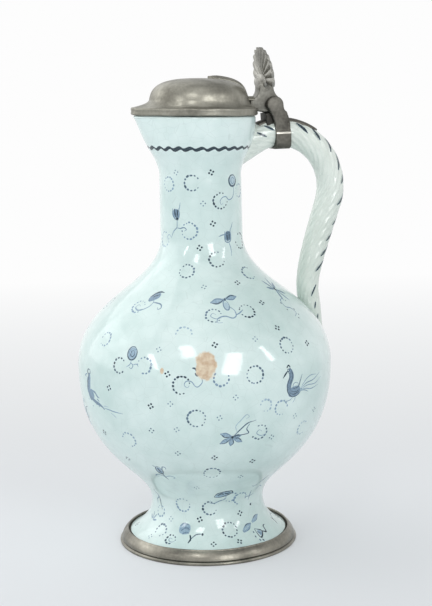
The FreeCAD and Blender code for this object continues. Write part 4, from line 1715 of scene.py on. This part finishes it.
# The flowers and leaves, from the mouth down to the foot.
SPRIGS = (
    # Round blossom under the mouth, with a stem that curls into a scroll.
    Sprig(50, 223.5, (
        Wash((0, 0), 3.0, 3.1),
        oval(3.1, 3.4, 1.1, DARK),
        oval(1.5, 1.9, 0.5, BLUE),
        Stroke(((-1.4, 1), (0.2, 1.9), (1.5, 0.6)), 0.5, BLUE),
        Stroke(((0.4, -3.4), (0.9, -6.5), (-0.4, -10), (-3.6, -11.2), (-5.6, -9.2), (-8, -9.4), (-9.8, -11.6),
                (-8.9, -13.8), (-7.8, -12.6))),
    )),
    # Tulip on the left of the neck, with its petal, stem and tendrils.
    Sprig(-37, 205, (
        Wash((-0.2, 0), 2.7, 3.1, LINE),
        Stroke(((-2.6, 2.9), (-2.9, -0.6), (-0.8, -3.3), (1.4, -3), (2.4, 0.4), (1.7, 3)), 0.6, BLUE),
        Stroke(((-1.1, 2.7), (-0.9, 0), (-0.4, -2.4)), 0.9, INK),
        Stroke(((0.9, 2.4), (0.8, 0), (0.5, -2.4)), 0.9, INK),
        Dab((0.6, -3.1), 1.0),
        Stroke(((1.6, 0.8), (2.5, 3.6), (3.1, 6.6)), 0.45),
        Stroke(((0.6, -3.2), (0.5, -6), (0.2, -8.4), (-2.2, -10.5), (-4.4, -14.6))),
        Stroke(((0.2, -8.4), (2.6, -8.7), (5.6, -8.2), (6.8, -9.4), (5.4, -10.2)), 0.55, BLUE),
        Stroke(((-4.4, -14.4), (-6.4, -12.8), (-8.2, -14.4), (-7.2, -16.8)), 0.4, WASH),
    )),
    # Tulip on the right of the neck.
    Sprig(39, 191, (
        Wash((0, 0), 2.5, 3.4, LINE),
        Stroke(((-2.2, 3), (-2.4, -1), (-1.6, -3.4), (1.6, -3.3), (2.3, 0.5), (2, 3.2)), 0.6, BLUE),
        Stroke(((-0.7, 3), (-0.7, 0), (-0.4, -3)), 0.9, INK),
        Stroke(((0.8, 2.8), (0.9, 0), (0.7, -3)), 0.9, INK),
        Stroke(((-2, 1.4), (0, 1), (2, 1.6)), 0.5, BLUE),
        Stroke(((-1.6, 0.9), (-4, 0.9), (-6.4, 0.1)), 0.6, BLUE),
        Stroke(((1.4, 2.6), (2.9, 5.4), (3.8, 7.8)), 0.45),
        Stroke(((0.4, -3.4), (1.4, -7), (0.6, -11.8))),
    )),
    # Pair of leaves on the left of the shoulder.
    Sprig(-36, 159, (
        Wash((-0.6, -0.8), 4.0, 1.9, LINE, 24),
        Stroke(((-4, -1), (-1.6, 1), (1.4, 2), (4.2, 1.8)), 0.9, DARK),
        Stroke(((-4, -1.4), (-3.4, -2.6), (-1.4, -2.2), (1.4, -0.4)), 0.7, BLUE),
        Stroke(((-2, -0.8), (0, 0), (2, 0.6)), 0.8, DARK),
        Stroke(((0, -1.4), (0.4, -4), (-1.6, -6.2), (-6, -7.8), (-9.5, -6.6)), 0.45),
        Stroke(((0.4, -3.2), (3.2, -3.4), (6, -4), (7, -5.6), (5.4, -6.4), (4.9, -5.4)), 0.55, BLUE),
    )),
    # Two long leaves and a loop at the top of the belly.
    Sprig(15, 157, (
        *leaf((-0.4, 0.3), (-8.8, -0.8), 2.3),
        *leaf((0.8, 0.7), (8.2, 1.4), 2.0),
        Wash((0, -2.6), 1.3, 1.9),
        oval(1.6, 2.4, 0.6, BLUE, (0, -2.4)),
        Dab((0.2, 0.4), 0.7, DARK),
        Stroke(((1.2, -3), (3.6, -5.2), (3.4, -7.8), (1.4, -8.8), (-2.2, -7.6), (-6, -8.6), (-6.4, -10.6),
                (-4, -10.6))),
        Stroke(((3.4, -7.4), (5.8, -6.6), (8.2, -5.2)), 0.45),
    )),
    # Spray of short leaves on the right of the shoulder, and an S-shaped scroll with dots under it.
    Sprig(67, 158.5, petals((165, 130, 60, 25, -30, -75, -125), 7.0, 1.3, BLUE) + (Dab((0, 0), 1.0),)),
    Sprig(60, 149, (
        Stroke(((2.8, 5), (-1.8, 3.8), (-2.4, 1), (1.8, -0.6), (2.6, -3), (-1.2, -4.6)), 0.5, BLUE),
        *(Dab(at, 0.4) for at in ((4, 3.4), (-3.4, 3), (-3.2, -0.6), (3.8, -1.4), (3.4, -4.2), (0.8, -5.8))),
    )),
    # Round blossom on the left of the belly.
    Sprig(-34, 130, (
        Wash((0, 0), 3.2, 3.5, WASH),
        oval(3.2, 3.6, 0.8, DARK),
        oval(1.3, 1.7, 0.6, DARK, (0.3, -0.2)),
        Stroke(((-1.9, 1.9), (-2.2, 0.4), (-1.8, -1.6)), 0.5, BLUE),
        Stroke(((0.2, -3.6), (-0.2, -6), (-2.8, -7.8)), 0.45),
        Stroke(((0, -5), (1.8, -6.6), (0.8, -8.4), (-0.8, -7.6)), 0.45),
        Stroke(((1.6, -6.2), (4.2, -5.6), (5.4, -7)), 0.4),
    )),
    # Small blossom beside the chip, with a scroll.
    Sprig(-3, 121, (
        Stroke(((-3, 2.6), (-1.2, 2.2), (0.2, -0.4)), 1.1, DARK),
        Stroke(((-0.6, 2.4), (0.8, 0.8), (0.8, -1.6)), 1.4, BLUE),
        Stroke(((-1.4, -0.2), (-0.4, -1.6), (1.4, -1)), 1.0, DARK),
        Stroke(((1.8, -1.8), (2.6, -5.2), (0, -8), (-1.4, -7.6), (-3.6, -4.9), (-6.6, -4.8), (-7.6, -7),
                (-5.8, -8.4), (-4.8, -7.2))),
    )),
    # Five-petalled flower low on the belly, with two stems.
    Sprig(12, 82, (
        *leaf((-0.4, 0.3), (-7, 2.6), 2.6),
        *leaf((-0.5, -0.4), (-7.2, -3.8), 2.3),
        *leaf((0, -0.6), (-0.8, -5.6), 2.6),
        *leaf((0.5, -0.5), (6, -3.4), 2.3),
        *leaf((0.6, 0.3), (5.2, 0.8), 1.7),
        Dab((0, 0), 0.9),
        Stroke(((0.6, 0.6), (4.2, 4.4), (8.6, 8.2), (13.4, 9.4)), 0.65, DARK),
        Stroke(((0.8, 0.2), (5, 1.2), (9.4, 2), (8, 4.6), (9.6, 7.6)), 0.6, DARK),
        Stroke(((2.4, 3.4), (1.6, 6.8), (4, 9.8), (7.6, 13.4), (9.2, 12), (7.4, 11)), 0.4, WASH),
    )),
    # Bud with its leaves under the belly.
    Sprig(-28, 58, (
        Wash((-0.4, 0.2), 1.9, 2.6, WASH),
        oval(2.1, 2.9, 0.6, DARK, (-0.4, 0.2)),
        Stroke(((-0.8, 2.4), (-0.2, -2.2)), 0.9, DARK),
        Stroke(((-1.8, 2.4), (-3.4, 3.6)), 0.5, BLUE),
        Stroke(((1.6, 0.6), (2.8, 3.2), (4.6, 2.8), (4.2, 1.4)), 0.6, BLUE),
        Stroke(((0.2, -2.6), (0.7, -5), (1.8, -7.2)), 0.8, DARK),
        Stroke(((0.4, -4.8), (-3.6, -3.4), (-6.2, -4.8), (-4, -5.6))),
        Stroke(((1.2, -4.8), (4.8, -3.8), (7.6, -5), (5.8, -6))),
    )),
    # Oval blossom on the stem of the foot.
    Sprig(14, 38.5, (
        Wash((0, 0), 5.4, 2.0, WASH, 12),
        Stroke(((-5.2, -1.6), (-3.8, 0.8), (0, 2), (4.6, 2.3), (5.6, 1), (2.6, -0.8), (-1.8, -2),
                (-5, -1.8)), 0.65, INK),
        Stroke(((-3, -0.6), (-1.2, 0.8), (0.6, -0.2)), 1.1, DARK),
        Stroke(((0.8, 1.2), (2.4, 0.4), (4.2, 1.4)), 1.0, DARK),
        Stroke(((2.2, -1.2), (2, -3.4), (-1.6, -4.6), (-5.2, -6), (-8.2, -5.4), (-7.2, -4)), 0.5, BLUE),
    )),
    # Pale blossom on the foot and the dark scrolls beside it.
    Sprig(-22, 17, (
        Wash((0, 0), 4.2, 3.4, WASH),
        Stroke(((-3.4, 1), (-1.2, 2.6), (2.4, 2.2)), 0.9, BLUE),
        Stroke(((-2.2, -1.4), (0.4, 0.6), (3.4, -0.4)), 1.1, BLUE),
        Stroke(((-1, -2.8), (1.6, -1.8), (3.2, -2.2)), 0.8, BLUE),
    )),
    Sprig(-14, 12.5, (
        Stroke(((-1.6, 1.6), (-0.6, -0.4), (-1.8, -2.2)), 1.0, INK),
        Stroke(((-0.6, -0.4), (2.4, 1.8), (6.4, 2.2)), 0.5, DARK),
        Dab((6.6, 2), 0.7),
    )),
    # Leaf and hatched bud on the right of the foot.
    Sprig(43, 16.5, (
        *leaf((-7.2, -2.6), (0.6, 0.6), 2.6),
        *leaf((1.8, 0.8), (10, 3.6), 2.2),
    )),
    Sprig(48, 11.5, (
        Wash((0, 0), 1.8, 1.5, WASH),
        Stroke(((-2.4, 2.2), (-2, -2), (2.4, 0.4), (-2.2, 2.4)), 0.6, INK),
        Stroke(((-1.6, 0.8), (0.4, -0.6)), 0.5, DARK),
        Stroke(((2.2, 0.4), (5.4, -0.6), (6.6, 2), (9, 2.4)), 0.7, INK),
    )),
    # Sprays that show at the edges of the stem.
    Sprig(-56, 32, (
        Stroke(((-1.4, 5.6), (0.6, 1.2), (0.8, -4), (2, -7)), 0.8, DARK),
        Stroke(((0.4, 1), (-2.6, -1.4), (-2.8, -4.2)), 0.6, BLUE),
    )),
    Sprig(-66, 17, petals((150, 100, 50, 10), 5.0, 1.0, LINE)),
    Sprig(45, 34, (
        Stroke(((-0.4, 3.6), (0, 0), (-0.2, -3)), 0.6, BLUE),
        Stroke(((-4, 0), (0, -0.2), (3.6, 0.6)), 0.45),
        Stroke(((3, 3.4), (6, 5.4), (9, 3.6)), 0.5),
        Dab((2.6, -6.4), 0.8),
    )),
    Sprig(44, 10.5, tuple(Dab(at, 0.5, DARK) for at in ((-1.6, 2), (-2.2, 0), (-1, -1.8), (1, -2.2)))),
    Sprig(50, 45, (
        Stroke(((-1.6, -2.4), (0.4, 0.8), (1.4, 2.6)), 1.2, BLUE),
        Stroke(((-1.6, -2.4), (-4.8, -4), (-7.4, -3.2)), 0.45),
    )),
)

# Strokes on the handle: way along from its root and angle from its back, at the start and at the end.
HANDLE_STROKES = (
    (-1.6, 1.02, 2.6, 1.58), (-1.6, -1.02, 2.6, -1.58), (3.9, 0.74, 8.3, 1.32),
    (3.9, -0.74, 8.3, -1.32), (21.5, 0.62, 28.5, 1.2), (22.0, -0.62, 28.0, -1.2),
    (30.5, 0.5, 37.0, 1.1), (31.0, -0.5, 37.0, -1.1), (39.0, 0.1, 46.0, 1.05), (48.0, 0.2, 57.0, 1.1),
    (58.0, 0.1, 64.5, 0.95), (68.0, 0.2, 76.5, 1.12), (82.0, 0.1, 89.0, 0.92), (92.0, 0.3, 99.5, 1.08),
    (102.0, 0.45, 109.5, 1.2), (112.0, 0.6, 119.5, 1.36), (128.0, 1.1, 135.0, 1.7),
    (139.0, 1.4, 143.0, 1.66), (147.0, 1.45, 150.5, 1.66),
)


@dataclass
class Brush:
    """Brush that lays thin closed tablets of cobalt in the flat and wraps them on a surface."""

    sink: float = 0.02
    first_proud: float = 0.02
    layer: float = 0.006
    soft: float = 0.13
    step: float = 0.9
    dab_sides: int = 8
    wash_columns: int = 10
    wash_rows: int = 8
    start_swell: float = 0.5
    start_share: float = 0.3
    end_swell: float = 0.3
    end_share: float = 0.35

    def __post_init__(self) -> None:
        """Start with nothing laid."""
        self.begin()

    def begin(self) -> None:
        """Start a new flat motif, thin and empty."""
        self.proud = self.first_proud
        self.flat = bmesh.new()
        self.cobalt = self.flat.verts.layers.float.new("cobalt")

    def tint(self, verts: Iterable[BMVert], amount: float) -> None:
        """Give the raised points of a tablet their cobalt and its sunk edge none."""
        for vert in verts:
            vert[self.cobalt] = amount if vert.co.z > 0 else 0.0

    def dab(
        self, at: Point, radius: float, amount: float, stretch: float = 1.0, turn_deg: float = 0.0
    ) -> None:
        """Lay a dot.

        Args:
            at: its place.
            radius: its radius.
            amount: cobalt in the brush.
            stretch: length of a longer touch, as a share of its width.
            turn_deg: direction of a longer touch.
        """
        place = Matrix.Translation((*at, (self.proud - self.sink) / 2))
        place @= Matrix.Rotation(radians(turn_deg), 4, "Z") @ Matrix.Diagonal((stretch, 1, 1, 1))
        made = bmesh.ops.create_cone(
            self.flat,
            cap_ends=True,
            segments=self.dab_sides,
            radius1=radius + self.soft,
            radius2=max(radius - self.soft, radius / 2),
            depth=self.proud + self.sink,
            matrix=place,
        )
        self.tint(made["verts"], amount)

    def wash(self, patch: Wash) -> None:
        """Lay a filled oval of small faces, so that it follows a curved surface.

        Args:
            patch: its place, size and load.
        """
        made = bmesh.ops.create_grid(
            self.flat, x_segments=self.wash_columns, y_segments=self.wash_rows, size=1.0
        )
        turn = Matrix.Rotation(radians(patch.turn_deg), 2)
        rims = {vert for vert in made["verts"] if vert.is_boundary}
        for vert in made["verts"]:
            x, y = vert.co.x, vert.co.y
            round_x, round_y = x * sqrt(1 - y * y / 2), y * sqrt(1 - x * x / 2)
            at = turn @ Vector((patch.wide * round_x, patch.tall * round_y))
            vert.co = (patch.at[0] + at.x, patch.at[1] + at.y, -self.sink if vert in rims else self.proud)
        self.tint(made["verts"], patch.load.value)
        faces = {face for vert in made["verts"] for face in vert.link_faces}
        grown = bmesh.ops.extrude_face_region(self.flat, geom=list(faces), use_keep_orig=True)
        for vert in new_verts(grown):
            vert.co.z = -2 * self.sink
            vert[self.cobalt] = 0.0

    def stroke(self, pull: Stroke) -> None:
        """Lay a stroke that swells from its start and thins to its end.

        Args:
            pull: its points, width and load.
        """
        path = smooth_path(pull.points, self.step)
        last = len(path) - 1
        face = None
        for index, (x, y) in enumerate(path):
            ahead, behind = path[min(index + 1, last)], path[max(index - 1, 0)]
            way = Vector((ahead[0] - behind[0], ahead[1] - behind[1])).normalized()
            swell = between(self.start_swell, 1.0, eased(0.0, self.start_share, index / last))
            swell *= between(self.end_swell, 1.0, eased(0.0, self.end_share, 1 - index / last))
            half = pull.width / 2 * swell
            foot, brow = half + self.soft, max(half - self.soft / 2, half / 2)
            corners = ((foot, -self.sink), (brow, self.proud), (-brow, self.proud), (-foot, -self.sink))
            if face is None:
                face = self.flat.faces.new([self.flat.verts.new() for _ in corners])
            else:
                grown = bmesh.ops.extrude_face_region(self.flat, geom=[face])
                face = next(item for item in grown["geom"] if isinstance(item, bmesh.types.BMFace))
            for vert, (off, lift) in zip(face.verts, corners):
                vert.co = (x - way.y * off, y + way.x * off, lift)
            self.tint(face.verts, pull.load.value)

    def mark(self, mark: Mark) -> None:
        """Lay any one mark over those before it.

        Args:
            mark: stroke, wash or dab.
        """
        self.proud += self.layer
        if isinstance(mark, Stroke):
            self.stroke(mark)
        elif isinstance(mark, Wash):
            self.wash(mark)
        else:
            self.dab(mark.at, mark.radius, mark.load.value)

    def lay(self, canvas: BMesh, wrap: Wrap) -> None:
        """Wrap the flat motif on a surface and add it to a piece.

        Args:
            canvas: mesh of the piece.
            wrap: gives a point of the surface for the way right, up and off it.
        """
        turn_outwards(self.flat)
        for vert in self.flat.verts:
            vert.co = wrap(*vert.co)
        merge(canvas, self.flat)
        self.begin()


@dataclass
class CobaltDecor:
    """Scattered rings, flowers, birds and dots, the wavy line under the mouth and the handle's strokes."""

    jug: GlazedBody
    handle: RopeHandle
    finish: Material
    seed: int = 7
    repeats: tuple[Row, ...] = ((188.0, 64.0, 300.0), (-92.0, 13.0, 300.0), (96.0, 20.0, 118.0))
    dot_spacing: float = 1.95
    dot_radius: float = 0.55
    fewest_dots: int = 4
    heavy_share: float = 0.3
    weight_slip: float = 0.15
    ring_slip: float = 0.2
    dot_loads: Point = (0.8, 1.05)
    dot_stretches: Point = (1.0, 1.7)
    hook_width: float = 0.45
    hook: tuple[Point, ...] = ((1.0, -0.3), (0.3, -0.55), (-0.4, -0.1), (-0.1, 0.35), (0.3, 0.1))
    group_radius: float = 1.3
    group_lean_deg: float = 20.0
    group_sizes: Point = (0.7, 1.15)
    group_loads: Point = (0.45, 1.0)
    bold_weights: Point = (0.8, 1.2)
    faint_weights: Point = (0.2, 0.6)
    wave_height: float = 242.8
    wave_radius: float = 30.0
    waves: int = 28
    wave_rise: float = 0.68
    wave_width: float = 2.2
    wave: tuple[Point, ...] = ((-0.62, 0.6), (-0.3, -1.0), (0.2, 1.0), (0.6, -0.2))
    wave_rises: Point = (0.8, 1.2)
    wave_widths: Point = (0.85, 1.15)
    wave_swell: Point = (0.6, 1.1)
    back_width: float = 2.0
    back_lift: float = 0.2
    root_width: float = 1.2
    root_reach: float = 10.0
    back_thinning: Point = (90.0, 140.0)
    back_thin_share: float = 0.5
    crisp_deg: float = 8.0

    def __post_init__(self) -> None:
        """Take a brush and a steady hand."""
        self.brush = Brush()
        self.hand = random.Random(self.seed)

    def turns(self, turn_deg: float, height: float) -> list[float]:
        """Turns at which a motif is painted: on the front, and again where the front doesn't reach.

        Args:
            turn_deg: its turn on the front.
            height: its height.

        Returns:
            One turn or more.
        """
        places = [turn_deg]
        for shift_deg, half_deg, below in self.repeats:
            if abs(turn_deg) <= half_deg and height < below:
                places.append(turn_deg + shift_deg)
        return places

    def canvas(self) -> BMesh:
        """Empty mesh that carries a cobalt load at its points.

        Returns:
            The mesh.
        """
        bm = bmesh.new()
        bm.verts.layers.float.new("cobalt")
        return bm

    def finish_canvas(self, canvas: BMesh, name: str) -> None:
        """Turn a painted mesh to a piece of the jug."""
        finish_piece(canvas, name, self.finish, Body.JUG, Slot.TIN_GLAZE, sharp_deg=self.crisp_deg)

    def lay_ring(self, ring: Ring) -> None:
        """Lay one dotted ring in the flat.

        Args:
            ring: its size, opening and weight.
        """
        covered = 360 - ring.gap_deg
        count = max(self.fewest_dots, round(radians(covered) * ring.radius / self.dot_spacing))
        for index in range(count):
            turn_deg = ring.gap_at_deg + ring.gap_deg / 2 + covered * index / (count - 1)
            weight = 1 + self.heavy_share * cos(radians(turn_deg - ring.heavy_at_deg))
            weight += self.hand.uniform(-self.weight_slip, self.weight_slip)
            reach = ring.radius + self.hand.uniform(-self.ring_slip, self.ring_slip)
            at = polar(reach, turn_deg)
            amount = ring.load.value * self.hand.uniform(*self.dot_loads)
            stretch = self.hand.uniform(*self.dot_stretches)
            self.brush.dab(at, self.dot_radius * weight, amount, stretch, turn_deg + 90)
        if ring.hooked:
            points = tuple((x * ring.radius, y * ring.radius) for x, y in self.hook)
            self.brush.stroke(Stroke(points, self.hook_width))

    def build_rings(self) -> None:
        """Paint the dotted rings."""
        canvas = self.canvas()
        for ring in RINGS:
            for turn_deg in self.turns(ring.turn_deg, ring.height):
                self.lay_ring(ring)
                self.brush.lay(canvas, self.jug.spot(turn_deg, ring.height))
        self.finish_canvas(canvas, "painted_dotted_rings")

    def build_dots(self) -> None:
        """Paint the groups of four dots, some bold and some faint."""
        canvas = self.canvas()
        for turn, height in BOLD_DOTS + FAINT_DOTS:
            for turn_deg in self.turns(turn, height):
                bold = (turn, height) in BOLD_DOTS
                weight = self.hand.uniform(*(self.bold_weights if bold else self.faint_weights))
                radius = self.dot_radius * between(*self.group_sizes, weight)
                lean = self.hand.uniform(-self.group_lean_deg, self.group_lean_deg)
                for at in arc_points((0.0, 0.0), self.group_radius, lean, lean + 270, steps=3):
                    self.brush.dab(at, radius, between(*self.group_loads, weight))
                self.brush.lay(canvas, self.jug.spot(turn_deg, height))
        self.finish_canvas(canvas, "painted_four_dot_groups")

    def build_sprigs(self, sprigs: Iterable[Sprig], name: str) -> None:
        """Paint flowers, leaves, scrolls or birds.

        Args:
            sprigs: the motifs.
            name: name of the piece.
        """
        canvas = self.canvas()
        for sprig in sprigs:
            for turn_deg in self.turns(sprig.turn_deg, sprig.height):
                for mark in sprig.marks:
                    self.brush.mark(mark)
                self.brush.lay(canvas, self.jug.spot(turn_deg, sprig.height, True))
        self.finish_canvas(canvas, name)

    def build_wave(self) -> None:
        """Paint the wavy line round the mouth, with a fresh pull of the brush for each wave."""
        canvas = self.canvas()
        pitch = FULL_TURN * self.wave_radius / self.waves
        for index in range(self.waves):
            rise = self.wave_rise * self.hand.uniform(*self.wave_rises)
            points = tuple((across * pitch, up * rise) for across, up in self.wave)
            front = max(cos(FULL_TURN * index / self.waves), 0.0)
            width = self.wave_width * between(*self.wave_swell, front) * self.hand.uniform(*self.wave_widths)
            self.brush.stroke(Stroke(points, width, INK))
            self.brush.lay(canvas, self.jug.spot(360 * index / self.waves, self.wave_height))
        self.finish_canvas(canvas, "painted_wavy_line")

    def on_handle(self, across: float, along: float, lift: float) -> Vector:
        """Point on the handle's smooth round, by the way from its back, from its root and off its skin."""
        angle = across / self.handle.radius
        return self.handle.skin(self.handle.root_end + along, angle, lift + self.back_lift, False)

    def build_handle_strokes(self) -> None:
        """Paint the slanted strokes that follow the twist down the handle's back."""
        canvas = self.canvas()
        for start, start_angle, end, end_angle in HANDLE_STROKES:
            first = (start_angle * self.handle.radius, start)
            last = (end_angle * self.handle.radius, end)
            middle = ((first[0] + last[0]) / 2, (start + end) / 2)
            thinner = eased(*self.back_thinning, start)
            width = self.back_width * between(1.0, self.back_thin_share, thinner)
            if start < self.root_reach:
                width = self.root_width
            self.brush.stroke(Stroke((first, middle, last), width, INK))
            self.brush.lay(canvas, self.on_handle)
        self.finish_canvas(canvas, "painted_handle_strokes")

    def build(self) -> None:
        """Paint everything."""
        self.build_wave()
        self.build_rings()
        self.build_dots()
        self.build_sprigs(SPRIGS, "painted_sprigs")
        self.build_sprigs(BIRDS, "painted_birds")
        self.build_handle_strokes()


@dataclass(frozen=True)
class SoftBox:
    """Soft lamp that faces the jug, placed by its turn to the right of the camera and its elevation."""

    name: str
    side_deg: float
    height_deg: float
    distance: float
    width: float
    tall: float
    radiance: float
    roll_deg: float = 0.0


SOFT_BOXES = (
    SoftBox("key_left", -17.0, 42.0, 1.5, 0.27, 0.52, 5.5, 22.0),
    SoftBox("key_right", 26.0, 21.0, 1.5, 0.40, 0.88, 5.5, -14.0),
    SoftBox("strip_left", -47.0, 22.0, 1.5, 0.11, 0.62, 7.0, 30.0),
    SoftBox("strip_right", 62.0, 26.0, 1.5, 0.12, 0.60, 7.0, 6.0),
    SoftBox("fill_left", -104.0, 20.0, 1.7, 1.70, 1.10, 0.8),
    SoftBox("top_left", -128.0, 46.0, 1.8, 2.40, 1.50, 0.9),
    SoftBox("overhead", 0.0, 75.0, 1.8, 1.40, 1.40, 0.5),
)


@dataclass
class Studio:
    """Pale sweep, soft lamps and a camera at the photograph's angle."""

    azimuth_deg: float = 17.0
    pitch: float = 0.1637
    roll: float = 0.0223
    position: tuple[float, float, float] = (-0.2573, -0.8415, 0.2934)
    lens: float = 87.15
    shift_x: float = 0.02135
    aim_height: float = 0.12
    floor_half: float = 12.0
    floor_colour: str = "#e1e4e7"
    near_colour: str = "#d1d5d8"
    far_colour: str = "#fdfdfd"
    ceiling_colour: str = "#c4c5c6"
    sweep_span: Point = (-0.25, 1.1)
    paper_span: Point = (0.02, 0.38)
    glow_share: float = 0.45
    ceiling_span: Point = (0.1, 0.85)
    light_span: Point = (-0.6, 0.4)
    light_ahead: float = 0.51
    light_behind: float = 1.2
    light_turn_deg: float = 40.0

    def view(self) -> Vector:
        """Level direction from the camera to the jug."""
        azimuth = radians(self.azimuth_deg)
        return Vector((sin(azimuth), cos(azimuth), 0))

    def build(self) -> None:
        """Make the camera, the sweep, the world and the lamps."""
        bpy.context.scene.view_settings.view_transform = "Standard"
        self.build_camera()
        self.build_sweep()
        self.build_world()
        for box in SOFT_BOXES:
            self.build_lamp(box)

    def build_camera(self) -> None:
        """Set the camera where the photograph was taken from."""
        view = self.view()
        right = Vector((view.y, -view.x, 0))
        forward = view * cos(self.pitch) - Vector((0, 0, sin(self.pitch)))
        up = view * sin(self.pitch) + Vector((0, 0, cos(self.pitch)))
        c, s = cos(self.roll), sin(self.roll)
        axes = Matrix((right * c - up * s, right * s + up * c, -forward)).transposed()
        data = bpy.data.cameras.new("camera")
        data.lens = self.lens
        data.shift_x = self.shift_x
        camera = bpy.data.objects.new("camera", data)
        camera.matrix_world = Matrix.Translation(self.position) @ axes.to_4x4()
        link(camera)
        bpy.context.scene.camera = camera

    def shown(self, tree: NodeTree) -> Socket:
        """Mask of the rays that see the background: from the camera, off metal and glaze, and through glass.

        Args:
            tree: tree of the floor or the world.

        Returns:
            Socket that is 1 for such rays.
        """
        rays = add_node(tree, "LightPath").outputs
        seen = combined(tree, "MAXIMUM", rays["Is Camera Ray"], rays["Is Glossy Ray"])
        return combined(tree, "MAXIMUM", seen, rays["Is Transmission Ray"])

    def along(self, tree: NodeTree, place: Socket, way: Vector) -> Socket:
        """How far a place lies along a way."""
        return add_node(tree, "VectorMath", {0: place, 1: way}, operation="DOT_PRODUCT").outputs["Value"]

    def build_sweep(self) -> None:
        """Make the floor, which fades to the pale background behind the jug."""
        bm = bmesh.new()
        bmesh.ops.create_grid(bm, x_segments=8, y_segments=8, size=self.floor_half)
        mesh = bpy.data.meshes.new("floor")
        bm.to_mesh(mesh)
        bm.free()
        material, tree, coords = new_finish("pale_studio_paper")
        tree.nodes.remove(tree.nodes["Principled BSDF"])
        away = self.along(tree, coords, self.view())
        depth = respan(tree, away, self.sweep_span)
        colour = blended(tree, depth, linear(self.near_colour), linear(self.far_colour))
        fade = respan(tree, away, self.paper_span, (self.glow_share, 1.0), "SMOOTHSTEP")
        paper = add_node(tree, "BsdfDiffuse", {"Color": linear(self.floor_colour)}).outputs[0]
        glow = add_node(tree, "Emission", {"Color": colour, "Strength": 1.0}).outputs[0]
        share = combined(tree, "MULTIPLY", self.shown(tree), fade)
        mixed = add_node(tree, "MixShader", {0: share, 1: paper, 2: glow}).outputs[0]
        connect(tree, tree.nodes["Material Output"], {"Surface": mixed})
        mesh.materials.append(material)
        floor = bpy.data.objects.new("studio_floor", mesh)
        link(floor)

    def build_world(self) -> None:
        """Make the surroundings: white at the eye's height, greyer overhead, with most light from behind."""
        world = bpy.data.worlds.new("studio")
        bpy.context.scene.world = world
        world.use_nodes = True
        tree = world.node_tree
        tree.nodes.clear()
        direction = add_node(tree, "TexCoord").outputs["Generated"]
        height = add_node(tree, "SeparateXYZ", {0: direction}).outputs["Z"]
        lift = respan(tree, height, self.ceiling_span, curve="SMOOTHSTEP")
        colour = blended(tree, lift, linear(self.far_colour), linear(self.ceiling_colour))
        bright = Matrix.Rotation(radians(self.light_turn_deg), 3, "Z") @ self.view()
        away = self.along(tree, direction, bright)
        light = respan(tree, away, self.light_span, (self.light_ahead, self.light_behind), "SMOOTHSTEP")
        strength = respan(tree, self.shown(tree), (0.0, 1.0), (light, 1.0))
        back = add_node(tree, "Background", {"Color": colour, "Strength": strength}).outputs[0]
        add_node(tree, "OutputWorld", {"Surface": back})

    def build_lamp(self, box: SoftBox) -> None:
        """Make one soft box that faces the jug's belly.

        Args:
            box: its place, size and brightness.
        """
        target = Vector((0, 0, self.aim_height))
        turn = radians(-90 - self.azimuth_deg + box.side_deg)
        lift = radians(box.height_deg)
        out = Vector((cos(turn) * cos(lift), sin(turn) * cos(lift), sin(lift)))
        data = bpy.data.lights.new(box.name, "AREA")
        data.shape = "RECTANGLE"
        data.size = box.width
        data.size_y = box.tall
        data.energy = box.radiance * pi * box.width * box.tall
        lamp = bpy.data.objects.new(box.name, data)
        facing = out.to_track_quat("Z", "Y").to_matrix().to_4x4()
        facing @= Matrix.Rotation(radians(box.roll_deg), 4, "Z")
        lamp.matrix_world = Matrix.Translation(target + out * box.distance) @ facing
        link(lamp)


def dress_kept_nodes(pewter: Material, putty: Material) -> None:
    """Give the nodes that stay as they are their finishes.

    Args:
        pewter: finish of the pin and its plugs.
        putty: finish of the bedding, dark as painted shade.
    """
    for node, finish in (("hinge_pin", pewter), ("pin_end_plugs", pewter), ("foot_bedding", putty)):
        mesh = frame["nodes"][node].data
        mesh.materials.clear()
        mesh.materials.append(finish)
        log.info("%s: dressed as %s", node, finish.name)


def main() -> None:
    """Build the jug, its pewter mount and the studio in order."""
    logging.basicConfig(level=logging.INFO, format="%(name)s: %(message)s")
    body = GlazedBody()
    chips = []
    for chip in CHIPS:
        half = Vector((chip.half_width, chip.half_width, chip.half_height))
        chips.append((body.spot(chip.turn_deg, chip.height)(0, 0, 0) * MM, half * MM))
    glaze = TinGlaze().build(chips)
    pewter = CastPewter().build()
    body.build(glaze)
    handle = RopeHandle(body, HANDLE_GLAZE.build(chips))
    handle.build()
    FootRing(RING_PEWTER.build()).build()
    lid = PewterLid(body, pewter)
    lid.build_cover()
    lid.build_strap()
    rest = ThumbRest(LUG_PEWTER.build(), SHELL_PEWTER_PAINTED_LIGHT.build())
    rest.build_lug()
    rest.build_shell()
    mount = HingeMount(handle, MOUNT_PEWTER.build(), WEB_PEWTER_PAINTED_SHADE.build())
    mount.build_band()
    mount.build_bracket()
    mount.build_web()
    mount.build_tongue()
    CobaltDecor(body, handle, glaze).build()
    dress_kept_nodes(pewter, BeddingPutty().build())
    Studio().build()


if __name__ == "__main__":
    main()
